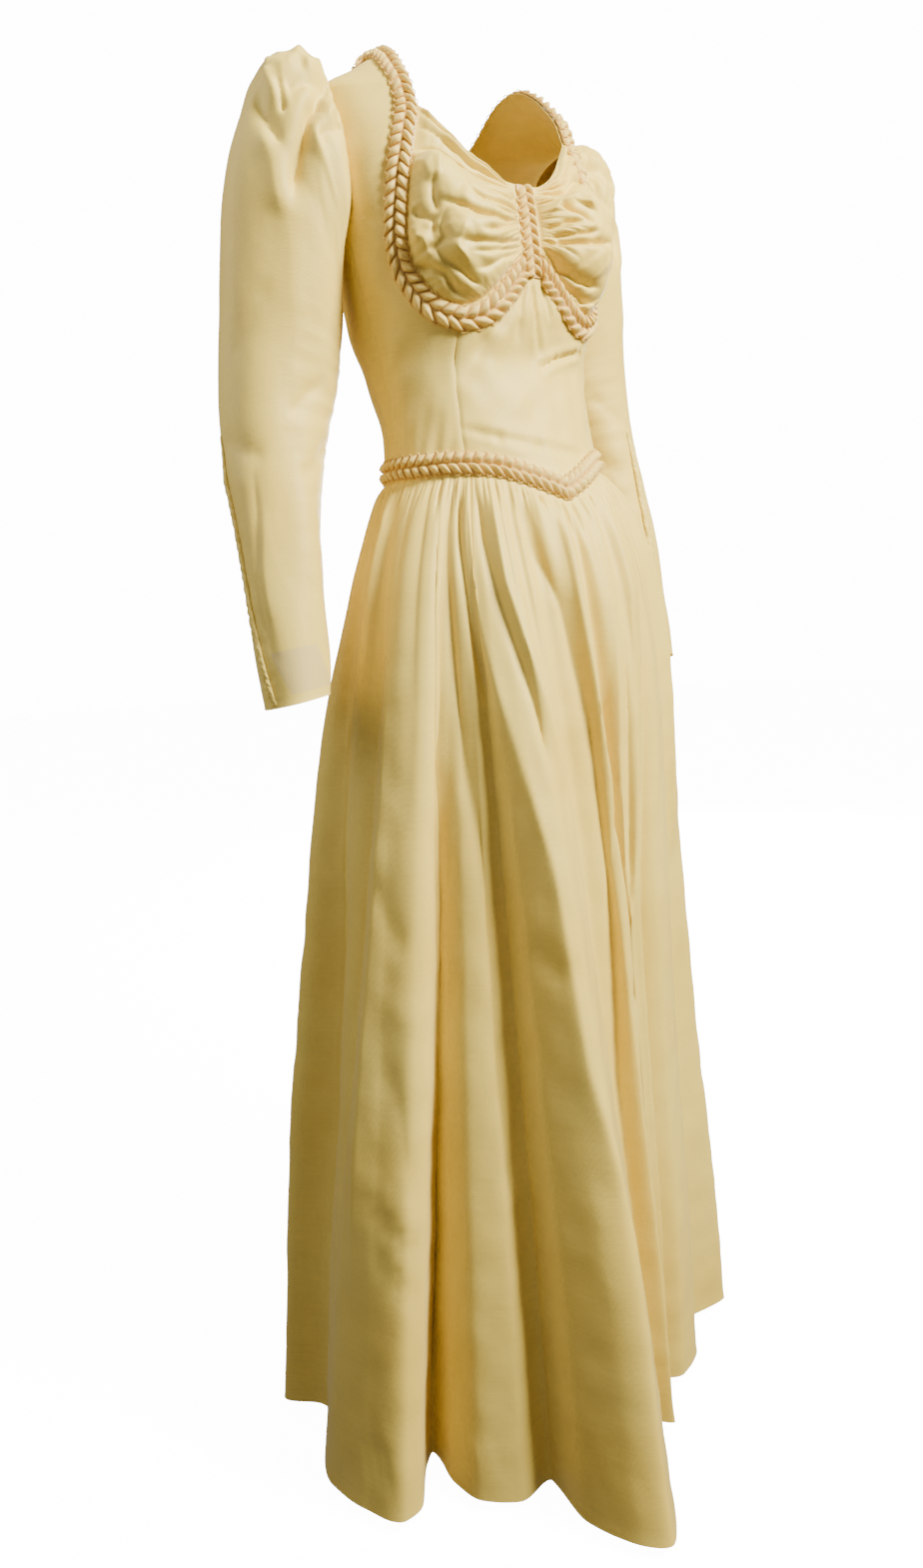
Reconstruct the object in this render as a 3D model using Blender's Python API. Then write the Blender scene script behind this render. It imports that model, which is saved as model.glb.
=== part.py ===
"""Floor-length bridesmaid dress with long gathered sleeves, worn shape, no wearer.

The dress stands as if worn. The front faces -Y, the wearer's right arm is on
the -X side, +Z is up and the origin lies between the two shoulder seams.
Every piece of cloth is a thin closed wall. The bodice pieces are height
fields over one trunk form, given by an angle round the form, a height and a
lift off the form, and the skirt is one folded cone that is cut into gores.
"""
from collections import namedtuple

import bpy
import numpy as np

RIGHT = -1
LEFT = 1

# Driving sizes in metres
CLOTH = 0.002
SEAM_GAP = 0.0003
SEAM_EASE = 0.00005
SLEEVE_GAP = 0.0007
HEM_HEIGHT = -1.405
WAIST_HEIGHT = -0.380
UNDERARM_HEIGHT = -0.149
SHOULDER_TIP_HEIGHT = -0.024
NECK_POINT_HEIGHT = 0.024
BACK_NECK_HEIGHT = -0.045
ARMHOLE_FRONT_DEPTH = 0.028
ARMHOLE_BACK_DEPTH = 0.046
PRINCESS_AT_WAIST = 0.090
PRINCESS_AT_CUP = 0.083
CUP_RISE = 0.034
CUP_ROUNDNESS = 0.72
CUP_FLAT_SHARE = 0.10
CUP_GATHER = 0.0022
CUP_GATHER_COUNT = 6
CUP_CRUMPLE = 0.0030
CUP_CRUMPLE_COUNT = 4
CUP_CRUMPLE_SHIFT = 0.6
DRAPE_RISE = 0.006
DRAPE_FOLD = 0.003
BRAID_WIDTH = 0.0232
BRAID_PITCH = 0.0104
BRAID_SLANT = 0.0065
BRAID_CREST_SHARE = 0.72
BRAID_BASE = 0.0016
BRAID_CREST = 0.0034
BRAID_CLEARANCE = 0.0007
SHOULDER_CLEARANCE = 0.0016
SHOULDER_CLEAR_FROM = -0.09
SHOULDER_CLEAR_TO = -0.05
BRAID_EDGE = 0.0012
BRAID_RIM_SHARE = 0.45
CENTRE_BRAID_HALF = 0.0105
BACK_BRAID_TRIM = 0.006
WAIST_BRAID_FROM = 91
WAIST_BRAID_TO = 449
PLACKET_FIRST_RING = 8
PLACKET_RING_STEP = 0.4
PLACKET_THICKNESS = 0.0016
PLACKET_PUCKER = 0.0006
PLACKET_HALF_DEGREES = 6.5
LEAN = 0.060
LEAN_REACH = 0.12
GATHER_LIFT = 0.0035
FULL_SIDE_DEGREES = 58
FULL_SIDE_SHARE = 0.65
FULL_SIDE_FADE_FROM = 0.2
FULL_SIDE_FADE_TO = 0.7
FOLD_EASE = 0.8

# How many short steps a braid's line is measured in for each chevron
BRAID_STEPS = 60
CLOTH_ROUGHNESS = 0.55
SHARP_DEGREES = 40

# Counts of cells along the seams that neighbouring pieces share
PRINCESS_CELLS = 5
CUP_BOTTOM_CELLS = 10
CUP_SIDE_CELLS = 10
DRAPE_END_CELLS = 3
NECK_EDGE_CELLS = 4
ARMHOLE_CELLS = 12
BACK_NECK_CELLS = 7
SIDE_SEAM_CELLS = (
    PRINCESS_CELLS + CUP_SIDE_CELLS + DRAPE_END_CELLS + NECK_EDGE_CELLS - ARMHOLE_CELLS
)
PANEL_CELLS = 6

Ring = namedtuple("Ring", "height half_width front back centre_y squareness")
TRUNK = [
    Ring(-0.450, 0.140, 0.121, 0.108, 0.002, 2.0),
    Ring(-0.412, 0.128, 0.113, 0.103, -0.002, 2.0),
    Ring(-0.374, 0.121, 0.097, 0.099, -0.001, 2.0),
    Ring(-0.330, 0.120, 0.091, 0.097, 0.007, 2.1),
    Ring(-0.285, 0.124, 0.088, 0.096, 0.018, 2.3),
    Ring(-0.255, 0.129, 0.096, 0.098, 0.023, 2.5),
    Ring(-0.230, 0.134, 0.102, 0.100, 0.026, 2.6),
    Ring(-0.180, 0.145, 0.101, 0.103, 0.029, 2.5),
    Ring(-0.125, 0.155, 0.098, 0.104, 0.034, 2.3),
    Ring(-0.075, 0.162, 0.086, 0.098, 0.040, 2.2),
    Ring(-0.030, 0.165, 0.073, 0.085, 0.045, 2.0),
    Ring(-0.003, 0.129, 0.0635, 0.073, 0.048, 2.0),
    Ring(0.024, 0.086, 0.052, 0.058, 0.050, 2.0),
]

# How far the waist seam dips towards the point at the centre front
Dip = namedtuple("Dip", "degrees depth")
WAIST_POINT = [
    Dip(0, 0.032),
    Dip(11, 0.0225),
    Dip(22, 0.013),
    Dip(34, 0.005),
    Dip(46, 0.0015),
    Dip(60, 0.0),
    Dip(180, 0.0),
]

# How much of the sideways lean each height takes
Sway = namedtuple("Sway", "height share")
SWAY = [
    Sway(HEM_HEIGHT, 0.0),
    Sway(-0.80, 0.5),
    Sway(-0.45, 1.0),
    Sway(-0.15, 0.9),
    Sway(-0.02, 0.0),
    Sway(0.10, 0.0),
]

# The braided edge of a cup, from the centre joint, under and round the cup,
# and on up the neck edge to the shoulder seam
Spot = namedtuple("Spot", "across height")
CUP_BOTTOM = [
    Spot(0.000, -0.1810),
    Spot(0.012, -0.1835),
    Spot(0.030, -0.1980),
    Spot(0.044, -0.2125),
    Spot(0.059, -0.2255),
    Spot(0.072, -0.2320),
    Spot(PRINCESS_AT_CUP, -0.2335),
]
CUP_SIDE = [
    Spot(PRINCESS_AT_CUP, -0.2335),
    Spot(0.100, -0.2270),
    Spot(0.115, -0.2080),
    Spot(0.123, -0.1870),
    Spot(0.125, -0.1660),
    Spot(0.123, -0.1400),
    Spot(0.119, -0.1150),
    Spot(0.112, -0.0910),
]
DRAPE_END = [
    Spot(0.112, -0.0910),
    Spot(0.105, -0.0710),
    Spot(0.099, -0.0560),
    Spot(0.0965, -0.0450),
]
NECK_EDGE = [
    Spot(0.0965, -0.0450),
    Spot(0.0962, -0.0200),
    Spot(0.0925, 0.0030),
    Spot(0.0860, NECK_POINT_HEIGHT),
]
NECKLINE = [
    Spot(0.000, -0.1155),
    Spot(0.020, -0.1135),
    Spot(0.039, -0.1040),
    Spot(0.058, -0.0880),
    Spot(0.072, -0.0730),
    Spot(0.088, -0.0550),
    Spot(0.0965, -0.0450),
]
BACK_NECK = [
    Spot(0.0860, NECK_POINT_HEIGHT),
    Spot(0.0850, 0.0060),
    Spot(0.0790, -0.0160),
    Spot(0.0640, -0.0340),
    Spot(0.0380, -0.0430),
    Spot(0.0000, BACK_NECK_HEIGHT),
]
DRAPE_FOOT = [
    Spot(0.000, -0.1210),
    Spot(0.030, -0.1195),
    Spot(0.060, -0.1140),
    Spot(0.074, -0.1030),
    Spot(0.087, -0.0945),
    Spot(0.098, -0.0910),
    Spot(0.112, -0.0910),
]

# A sleeve's rings, from just past the armhole to the cuff. The inner point
# faces the body and the outer point lies along the outside of the arm.
ArmRing = namedtuple("ArmRing", "inner inner_height outer outer_height centre_y half_depth lift")
SLEEVE = [
    ArmRing(0.1560, -0.156, 0.174, -0.004, 0.051, 0.046, 0.000),
    ArmRing(0.1570, -0.167, 0.197, 0.004, 0.054, 0.056, 0.000),
    ArmRing(0.1550, -0.180, 0.224, -0.011, 0.058, 0.060, 0.000),
    ArmRing(0.1500, -0.196, 0.242, -0.052, 0.063, 0.061, 0.000),
    ArmRing(0.1440, -0.216, 0.254, -0.108, 0.070, 0.061, 0.000),
    ArmRing(0.1420, -0.246, 0.261, -0.180, 0.077, 0.061, 0.001),
    ArmRing(0.1510, -0.292, 0.267, -0.258, 0.079, 0.058, 0.005),
    ArmRing(0.1720, -0.354, 0.273, -0.338, 0.072, 0.053, 0.009),
    ArmRing(0.1900, -0.425, 0.278, -0.415, 0.054, 0.046, 0.010),
    ArmRing(0.2025, -0.500, 0.282, -0.490, 0.035, 0.0405, 0.009),
    ArmRing(0.2115, -0.565, 0.283, -0.557, 0.019, 0.036, 0.008),
    ArmRing(0.2220, -0.610, 0.282, -0.600, 0.008, 0.031, 0.007),
]

# The gathers of the sleeve head on its first rings, and how far its valleys reach
HeadRing = namedtuple("HeadRing", "number gather fade")
HEAD = [
    HeadRing(0, 0.0, 0.5),
    HeadRing(1, 0.0045, 1.0),
    HeadRing(2, 0.0040, 0.8),
    HeadRing(3, 0.0025, 0.8 * 2 / 3),
    HeadRing(4, 0.0010, 0.8 / 3),
]
HEAD_TOP_SHARE = 1.25
HEAD_TOP_DEGREES = 90
Valley = namedtuple("Valley", "degrees depth spread")
HEAD_VALLEYS = [
    Valley(128, 0.011, 14),
    Valley(168, 0.007, 12),
    Valley(214, 0.008, 14),
]

# Where the placket runs round each forearm, from its upper end to the cuff
PlacketLine = namedtuple("PlacketLine", "upper_degrees cuff_degrees")
PLACKET_LINES = {RIGHT: PlacketLine(215, 175), LEFT: PlacketLine(106, 88)}

# The skirt's folds at the hem, all round from the centre back by the wearer's
# right side. Each row is a ridge, a valley or an edge of a fold.
Fold = namedtuple("Fold", "waist hem radius cells")
FOLDS = [
    Fold(-180, -180, 0.312, 4),
    Fold(-169, -167, 0.266, 4),
    Fold(-158, -155, 0.308, 4),
    Fold(-147, -143, 0.258, 4),
    Fold(-136, -131, 0.283, 4),
    Fold(-124, -119, 0.250, 4),
    Fold(-112, -107, 0.292, 4),
    Fold(-100, -99, 0.257, 3),
    Fold(-92, -87, 0.289, 4),
    Fold(-82, -79, 0.314, 3),
    Fold(-72, -70, 0.320, 3),
    Fold(-63, -62, 0.314, 1),
    Fold(-61, -61, 0.292, 1),
    Fold(-59, -65, 0.247, 1),
    Fold(-57, -66, 0.225, 2),
    Fold(-54, -57, 0.252, 2),
    Fold(-51.5, -50, 0.271, 2),
    Fold(-49, -41, 0.268, 2),
    Fold(-46.5, -34, 0.244, 2),
    Fold(-43.5, -29, 0.300, 2),
    Fold(-40, -22, 0.341, 2),
    Fold(-36, -17, 0.352, 3),
    Fold(-30, -9, 0.280, 3),
    Fold(-22, -2, 0.212, 3),
    Fold(-12, 5, 0.232, 3),
    Fold(-3, 9, 0.186, 3),
    Fold(6, 13, 0.206, 3),
    Fold(14, 17, 0.180, 3),
    Fold(23, 24, 0.206, 3),
    Fold(33, 37, 0.212, 3),
    Fold(43, 50, 0.196, 4),
    Fold(54, 61, 0.266, 4),
    Fold(65, 72, 0.236, 4),
    Fold(76, 83, 0.285, 4),
    Fold(88, 95, 0.246, 4),
    Fold(100, 107, 0.296, 4),
    Fold(112, 119, 0.256, 4),
    Fold(124, 131, 0.304, 4),
    Fold(137, 143, 0.262, 4),
    Fold(150, 155, 0.310, 4),
    Fold(165, 168, 0.266, 4),
]
GORE_SEAMS = (-180, -100, -46.5, 43, 88)

# How far the gathered skirt stands out from a straight cone, down its length
Flare = namedtuple("Flare", "share out gather")
FLARE = [
    Flare(0.000, 0.000, 0.0),
    Flare(0.020, 0.009, 0.7),
    Flare(0.055, 0.018, 1.0),
    Flare(0.110, 0.025, 0.8),
    Flare(0.190, 0.027, 0.45),
    Flare(0.300, 0.025, 0.15),
    Flare(0.440, 0.021, 0.0),
    Flare(0.600, 0.017, 0.0),
    Flare(0.780, 0.012, 0.0),
    Flare(1.000, 0.000, 0.0),
]
WAIST_BAND = 0.0125
SKIRT_ROWS = (0.0, 0.020, 0.060, 0.125, 0.230, 0.370, 0.540, 0.730, 0.890, 1.0)

CREAM = (0.86, 0.77, 0.55)
BRAID_CREAM = (0.88, 0.75, 0.53)


def clear_scene():
    """Remove everything that is in the scene."""
    for item in list(bpy.data.objects):
        bpy.data.objects.remove(item, do_unlink=True)


def hermite(xs, ys, x):
    """Read a smooth curve through the table xs, ys that never overshoots it."""
    xs = np.asarray(xs, float)
    ys = np.asarray(ys, float)
    x = np.asarray(x, float)
    width = np.diff(xs)
    slope = np.diff(ys) / width
    tangent = np.empty_like(ys)
    tangent[0] = slope[0]
    tangent[-1] = slope[-1]
    total = slope[1:] + slope[:-1]
    safe = np.where(np.abs(total) < 1e-12, 1.0, total)
    same_way = slope[1:] * slope[:-1] > 0
    tangent[1:-1] = np.where(same_way, 2 * slope[1:] * slope[:-1] / safe, 0.0)
    cell = np.clip(np.searchsorted(xs, x) - 1, 0, len(width) - 1)
    t = np.clip((x - xs[cell]) / width[cell], 0.0, 1.0)
    start = (2 * t**3 - 3 * t**2 + 1) * ys[cell]
    leave = (t**3 - 2 * t**2 + t) * width[cell] * tangent[cell]
    end = (3 * t**2 - 2 * t**3) * ys[cell + 1]
    arrive = (t**3 - t**2) * width[cell] * tangent[cell + 1]
    return start + leave + end + arrive


def column(rows, name):
    """One named column of a table."""
    return np.array([getattr(row, name) for row in rows], float)


def unit(vectors):
    """Vectors at length one."""
    return vectors / np.linalg.norm(vectors, axis=-1, keepdims=True)


def section(height):
    """The trunk form's half width, front, back, centre and squareness at a height."""
    heights = column(TRUNK, "height")
    names = ("half_width", "front", "back", "centre_y", "squareness")
    return [hermite(heights, column(TRUNK, name), height) for name in names]


def form(angle, height):
    """Points on the trunk form. The angle is 0 in front and grows to the wearer's left."""
    half_width, front, back, centre_y, squareness = section(height)
    across = np.sin(angle)
    ahead = np.cos(angle)
    reach = (np.abs(across) ** squareness + np.abs(ahead) ** squareness) ** (-1 / squareness)
    depth = np.where(ahead > 0, front, back)
    x = half_width * across * reach
    y = centre_y - depth * ahead * reach
    return np.stack([x, y, height + 0 * angle], -1)


def trunk(angle, height, lift):
    """Points at a distance, the lift, off the trunk form."""
    angle, height, lift = np.broadcast_arrays(angle, height, lift)
    step = 0.002
    around = form(angle + step, height) - form(angle - step, height)
    up = form(angle, height + step / 4) - form(angle, height - step / 4)
    return form(angle, height) + unit(np.cross(around, up)) * lift[..., None]


def angle_across(across, height):
    """The angle in front where the form is this far from the centre."""
    half_width, _, _, _, squareness = section(height)
    share = np.clip(np.abs(across) / half_width, 1e-6, 0.99999) ** squareness
    return np.arctan((share / (1 - share)) ** (1 / squareness))


def angle_at(points):
    """The angles round the form at which points near it lie."""
    half_width, front, back, centre_y, _ = section(points[..., 2])
    ahead = centre_y - points[..., 1]
    depth = np.where(ahead > 0, front, back)
    return np.arctan2(points[..., 0] / half_width, ahead / depth)


def waist_height(angle):
    """The height of the waist seam round the form."""
    degrees = np.abs((np.degrees(angle) + 180) % 360 - 180)
    dip = hermite(column(WAIST_POINT, "degrees"), column(WAIST_POINT, "depth"), degrees)
    return WAIST_HEIGHT - dip


def distances(points):
    """The distance run along a line to each of its points, by its first three columns."""
    return np.r_[0, np.cumsum(np.linalg.norm(np.diff(points[:, :3], axis=0), axis=1))]


def evenly(points, cells):
    """Points at even distances on a smooth curve through the given ones."""
    points = np.asarray(points, float)
    run = distances(points)
    fine = np.linspace(0, run[-1], 40 * len(points))
    curve = np.stack([hermite(run, points[:, k], fine) for k in range(points.shape[1])], -1)
    along = distances(curve)
    marks = np.linspace(0, along[-1], cells + 1)
    return np.stack([np.interp(marks, along, curve[:, k]) for k in range(points.shape[1])], -1)


def seam(spots, cells):
    """A seam in front as rows of angle and height, evenly spaced."""
    flat = evenly([(spot.across, spot.height) for spot in spots], cells)
    return np.stack([angle_across(flat[:, 0], flat[:, 1]), flat[:, 1]], -1)


def climb(foot, head, cells):
    """Heights up from the waist seam, the first a band that the braid covers."""
    return np.r_[foot, np.linspace(foot + WAIST_BAND, head, cells)]


def princess_seam():
    """The seam from the waist up to the cup."""
    waist_angle = angle_across(PRINCESS_AT_WAIST, WAIST_HEIGHT)
    foot = float(waist_height(waist_angle))
    heights = climb(foot, CUP_SIDE[0].height, PRINCESS_CELLS)
    across = np.interp(heights, [foot, CUP_SIDE[0].height], [PRINCESS_AT_WAIST, PRINCESS_AT_CUP])
    return np.stack([angle_across(across, heights), heights], -1)


def armhole(share, ahead):
    """The armhole's angle and height from the underarm, 0, to the shoulder tip, 1."""
    turn = np.pi * np.asarray(share, float)
    middle = (UNDERARM_HEIGHT + SHOULDER_TIP_HEIGHT) / 2
    height = middle - (SHOULDER_TIP_HEIGHT - UNDERARM_HEIGHT) / 2 * np.cos(turn)
    _, front, back, _, squareness = section(height)
    depth = front if ahead else back
    cut = ARMHOLE_FRONT_DEPTH if ahead else ARMHOLE_BACK_DEPTH
    side = np.clip(cut * np.sin(turn) / depth, 1e-6, 1) ** squareness
    swing = np.pi / 2 - np.arctan((1 / side - 1) ** (1 / squareness))
    return np.stack([np.pi / 2 - swing if ahead else np.pi / 2 + swing, height], -1)


def side_seam():
    """The side seam from the waist to the underarm."""
    heights = climb(WAIST_HEIGHT, UNDERARM_HEIGHT, SIDE_SEAM_CELLS)
    return np.stack([np.full(len(heights), np.pi / 2), heights], -1)


def join(*curves):
    """Curves end to end, each shared point once."""
    return np.concatenate([curves[0]] + [curve[1:] for curve in curves[1:]])


def ruled(inner, outer, cells):
    """Rows of angle and height between two edges that have the same count of points."""
    share = np.linspace(0, 1, cells + 1)[None, :, None]
    return inner[:, None] * (1 - share) + outer[:, None] * share


def coons(bottom, top, start, end, rise=None):
    """A patch between four edges: bottom and top run along it, start and end up it."""
    u = np.linspace(0, 1, len(bottom))[None, :, None]
    v = np.linspace(0, 1, len(start))[:, None, None] if rise is None else rise[:, None, None]
    rows = bottom[None] * (1 - v) + top[None] * v
    lines = start[:, None] * (1 - u) + end[:, None] * u
    low = bottom[0] * (1 - u) + bottom[-1] * u
    high = top[0] * (1 - u) + top[-1] * u
    return rows + lines - (low * (1 - v) + high * v)


def settle(points):
    """The slight sideways lean of the waist, as the dress hangs."""
    moved = points.copy()
    reach = LEAN_REACH * np.tanh(points[..., 0] / LEAN_REACH)
    share = np.interp(points[..., 2], column(SWAY, "height"), column(SWAY, "share"))
    moved[..., 2] += LEAN * reach * share
    return moved


def inset(grid, gap, rows, columns):
    """Draw the edges of a grid in, so that it stands clear of its neighbours."""
    grid = grid.copy()
    if rows:
        grid[0] += unit(grid[1] - grid[0]) * gap
        grid[-1] += unit(grid[-2] - grid[-1]) * gap
    if columns:
        grid[:, 0] += unit(grid[:, 1] - grid[:, 0]) * gap
        grid[:, -1] += unit(grid[:, -2] - grid[:, -1]) * gap
    return grid


def finish(name, colour, roughness):
    """A plain material of one colour."""
    material = bpy.data.materials.new(name + "_finish")
    material.use_nodes = True
    shader = material.node_tree.nodes["Principled BSDF"]
    shader.inputs["Base Color"].default_value = (*colour, 1.0)
    shader.inputs["Roughness"].default_value = roughness
    shader.inputs["Metallic"].default_value = 0.0
    return material


def wall(name, outside, inside, closed=False, colour=CREAM):
    """A closed thin wall between two grids of points with their columns to the right."""
    rows, columns = outside.shape[:2]
    points = np.concatenate([settle(outside).reshape(-1, 3), settle(inside).reshape(-1, 3)])
    half = rows * columns
    last = columns if closed else columns - 1
    faces = []
    for i in range(rows - 1):
        for j in range(last):
            k = (j + 1) % columns
            a, b = i * columns + j, i * columns + k
            c, d = b + columns, a + columns
            if np.linalg.norm(points[a] - points[c]) > np.linalg.norm(points[b] - points[d]):
                a, b, c, d = b, c, d, a
            faces += [(a, b, c), (a, c, d)]
            faces += [(half + a, half + c, half + b), (half + a, half + d, half + c)]
    rims = []
    for j in range(last):
        k = (j + 1) % columns
        rims.append((j, k))
        rims.append(((rows - 1) * columns + k, (rows - 1) * columns + j))
    if not closed:
        for i in range(rows - 1):
            rims.append(((i + 1) * columns, i * columns))
            rims.append((i * columns + last, (i + 1) * columns + last))
    for a, b in rims:
        faces += [(b, a, half + a), (b, half + a, half + b)]
    return solid(name, points, faces, colour)


def solid(name, points, faces, colour):
    """An object with one material from points and triangles."""
    mesh = bpy.data.meshes.new(name)
    mesh.from_pydata(points.tolist(), [], faces)
    mesh.update()
    mesh.shade_smooth()
    mesh.set_sharp_from_angle(angle=np.radians(SHARP_DEGREES))
    mesh.materials.append(finish(name, colour, CLOTH_ROUGHNESS))
    piece = bpy.data.objects.new(name, mesh)
    bpy.context.scene.collection.objects.link(piece)
    return piece


def to_side(grid, side):
    """A grid of angle and height turned to one side, its columns running to the left arm."""
    turned = grid * np.array([side, 1.0])
    return turned[:, ::-1] if side == RIGHT else turned


def panel(name, grid, lift=0.0):
    """A piece of cloth over the trunk form."""
    outside = trunk(grid[..., 0], grid[..., 1], lift + CLOTH / 2)
    inside = trunk(grid[..., 0], grid[..., 1], lift - CLOTH / 2)
    half_gap = SEAM_GAP / 2 + SEAM_EASE
    return wall(name, inset(outside, half_gap, True, True), inset(inside, half_gap, True, True))


def waist_fitted(grid):
    """Bend the lowest rows of a grid onto the waist seam."""
    grid = grid.copy()
    share = np.linspace(0, 1, len(grid))[:, None]
    miss = waist_height(grid[0, :, 0]) - grid[0, :, 1]
    grid[..., 1] += miss[None] * np.clip(1 - 3 * share, 0, 1)
    return grid


def side_front(side, tag):
    """The front panel at the side, from the waist to the shoulder seam."""
    inner = join(
        princess_seam(),
        seam(CUP_SIDE, CUP_SIDE_CELLS),
        seam(DRAPE_END, DRAPE_END_CELLS),
        seam(NECK_EDGE, NECK_EDGE_CELLS),
    )
    inner[-1, 0] = np.pi / 2
    outer = join(side_seam(), armhole(np.linspace(0, 1, ARMHOLE_CELLS + 1), True))
    grid = waist_fitted(ruled(inner, outer, PANEL_CELLS))
    panel("bodice_side_front_" + tag, to_side(grid, side))


def back_neck(cells):
    """The back neckline from the shoulder seam to the centre back."""
    curve = seam(BACK_NECK, cells) * np.array([-1.0, 1.0]) + np.array([np.pi, 0.0])
    curve[0, 0] = np.pi / 2
    curve[-1, 0] = np.pi
    return curve


def bodice_back(side, tag):
    """Half of the back, with the centre back seam."""
    outer = join(side_seam(), armhole(np.linspace(0, 1, ARMHOLE_CELLS + 1), False))
    heights = climb(WAIST_HEIGHT, BACK_NECK_HEIGHT, len(outer) - 1 - BACK_NECK_CELLS)
    centre = np.stack([np.full(len(heights), np.pi), heights], -1)
    inner = join(centre, back_neck(BACK_NECK_CELLS)[::-1])
    grid = ruled(inner, outer, PANEL_CELLS)[:, ::-1]
    panel("bodice_back_" + tag, to_side(grid, side))


def midriff_front():
    """The front panel between the two princess seams, peaked between the cups."""
    rise = seam(CUP_BOTTOM, CUP_BOTTOM_CELLS)
    rise[0, 0] = 0.0
    mirror = rise[::-1] * np.array([-1.0, 1.0])
    top = join(mirror, rise)
    end = princess_seam()
    start = end * np.array([-1.0, 1.0])
    angles = np.linspace(start[0, 0], end[0, 0], len(top))
    bottom = np.stack([angles, waist_height(angles)], -1)
    share = (end[:, 1] - end[0, 1]) / (end[-1, 1] - end[0, 1])
    panel("bodice_midriff_front", coons(bottom, top, start, end, share))


def cup_lift(u, v):
    """How far a gathered cup stands off the form."""
    open_share = np.clip((u - CUP_FLAT_SHARE) / (1 - CUP_FLAT_SHARE), 0, 1)
    dome = (np.sin(np.pi * open_share) * np.sin(np.pi * v)) ** CUP_ROUNDNESS
    near_centre = np.clip(open_share * 8, 0, 1) * np.clip(1.6 - 2.6 * open_share, 0, 1)
    gathers = CUP_GATHER * np.cos(2 * np.pi * CUP_GATHER_COUNT * v) * near_centre
    near_edge = np.clip((open_share - 0.62) * 4, 0, 1) * np.clip((1 - open_share) * 6, 0, 1)
    crumple_wave = np.cos(2 * np.pi * CUP_CRUMPLE_COUNT * v + CUP_CRUMPLE_SHIFT)
    crumples = CUP_CRUMPLE * crumple_wave * near_edge
    inside_edges = np.clip(np.minimum(v, 1 - v) * 8, 0, 1)
    return CUP_RISE * dome + (gathers + crumples) * inside_edges


def cup(side, tag):
    """A cup gathered to the centre and sewn under the braid at its outer edge."""
    bottom = seam(CUP_BOTTOM, CUP_BOTTOM_CELLS)
    bottom[0, 0] = 0.0
    top = seam(DRAPE_FOOT, CUP_BOTTOM_CELLS)
    top[0, 0] = 0.0
    end = seam(CUP_SIDE, CUP_SIDE_CELLS)
    heights = np.linspace(bottom[0, 1], top[0, 1], CUP_SIDE_CELLS + 1)
    start = np.stack([np.zeros(len(heights)), heights], -1)
    u = np.linspace(0, 1, CUP_BOTTOM_CELLS + 1)[None, :]
    v = np.linspace(0, 1, CUP_SIDE_CELLS + 1)[:, None]
    lift = cup_lift(u, v)
    if side == RIGHT:
        lift = lift[:, ::-1]
    panel("bust_cup_" + tag, to_side(coons(bottom, top, start, end), side), lift)


def neck_drape(side, tag):
    """The folded band between the neckline and the cup."""
    bottom = seam(DRAPE_FOOT, CUP_BOTTOM_CELLS)
    bottom[0, 0] = 0.0
    top = seam(NECKLINE, CUP_BOTTOM_CELLS)
    top[0, 0] = 0.0
    end = seam(DRAPE_END, DRAPE_END_CELLS)
    heights = np.linspace(bottom[0, 1], top[0, 1], DRAPE_END_CELLS + 1)
    start = np.stack([np.zeros(len(heights)), heights], -1)
    u = np.linspace(0, 1, CUP_BOTTOM_CELLS + 1)[None, :]
    v = np.linspace(0, 1, DRAPE_END_CELLS + 1)[:, None]
    fold = DRAPE_RISE * np.sin(np.pi * v) + DRAPE_FOLD * np.sin(3 * np.pi * v)
    lift = fold * np.clip((u - CUP_FLAT_SHARE) * 3, 0, 1) * np.clip((1 - u) * 5, 0, 1)
    if side == RIGHT:
        lift = lift[:, ::-1]
    panel("neck_drape_" + tag, to_side(coons(bottom, top, start, end), side), lift)


def armhole_loop(turn):
    """The right armhole all round as angle and height."""
    up = armhole(turn[: ARMHOLE_CELLS + 1] / np.pi, True)
    down = armhole((2 * np.pi - turn[ARMHOLE_CELLS + 1 :]) / np.pi, False)
    return np.concatenate([up, down]) * np.array([RIGHT, 1.0])


def armhole_facing(side):
    """The directions in which the cloth faces round an armhole."""
    loop = armhole_loop(np.pi * np.arange(2 * ARMHOLE_CELLS) / ARMHOLE_CELLS)
    facing = trunk(loop[:, 0], loop[:, 1], 1.0) - trunk(loop[:, 0], loop[:, 1], 0.0)
    if side == LEFT:
        facing = facing[::-1] * np.array([-1.0, 1.0, 1.0])
    return facing


def sleeve_rings(side):
    """The sleeve's points, a row for each ring and a column for each angle round the arm."""
    count = 2 * ARMHOLE_CELLS
    turn = 2 * np.pi * np.arange(count) / count
    loop = armhole_loop(turn)
    rings = [trunk(loop[:, 0], loop[:, 1], CLOTH / 2 + SLEEVE_GAP)]
    for number, ring in enumerate(SLEEVE):
        inner = np.array([-ring.inner, ring.centre_y, ring.inner_height])
        outer = np.array([-ring.outer, ring.centre_y, ring.outer_height])
        middle = (inner + outer) / 2
        points = middle + np.outer(np.cos(turn), (inner - outer) / 2)
        points[:, 1] -= ring.half_depth * np.sin(turn)
        points[:, 2] += ring.lift * np.sin(turn)
        rings.append(points + unit(points - middle) * head_folds(turn, number)[:, None])
    points = np.array(rings)
    if side == LEFT:
        points = points[:, ::-1] * np.array([-1.0, 1.0, 1.0])
    return points


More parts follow.
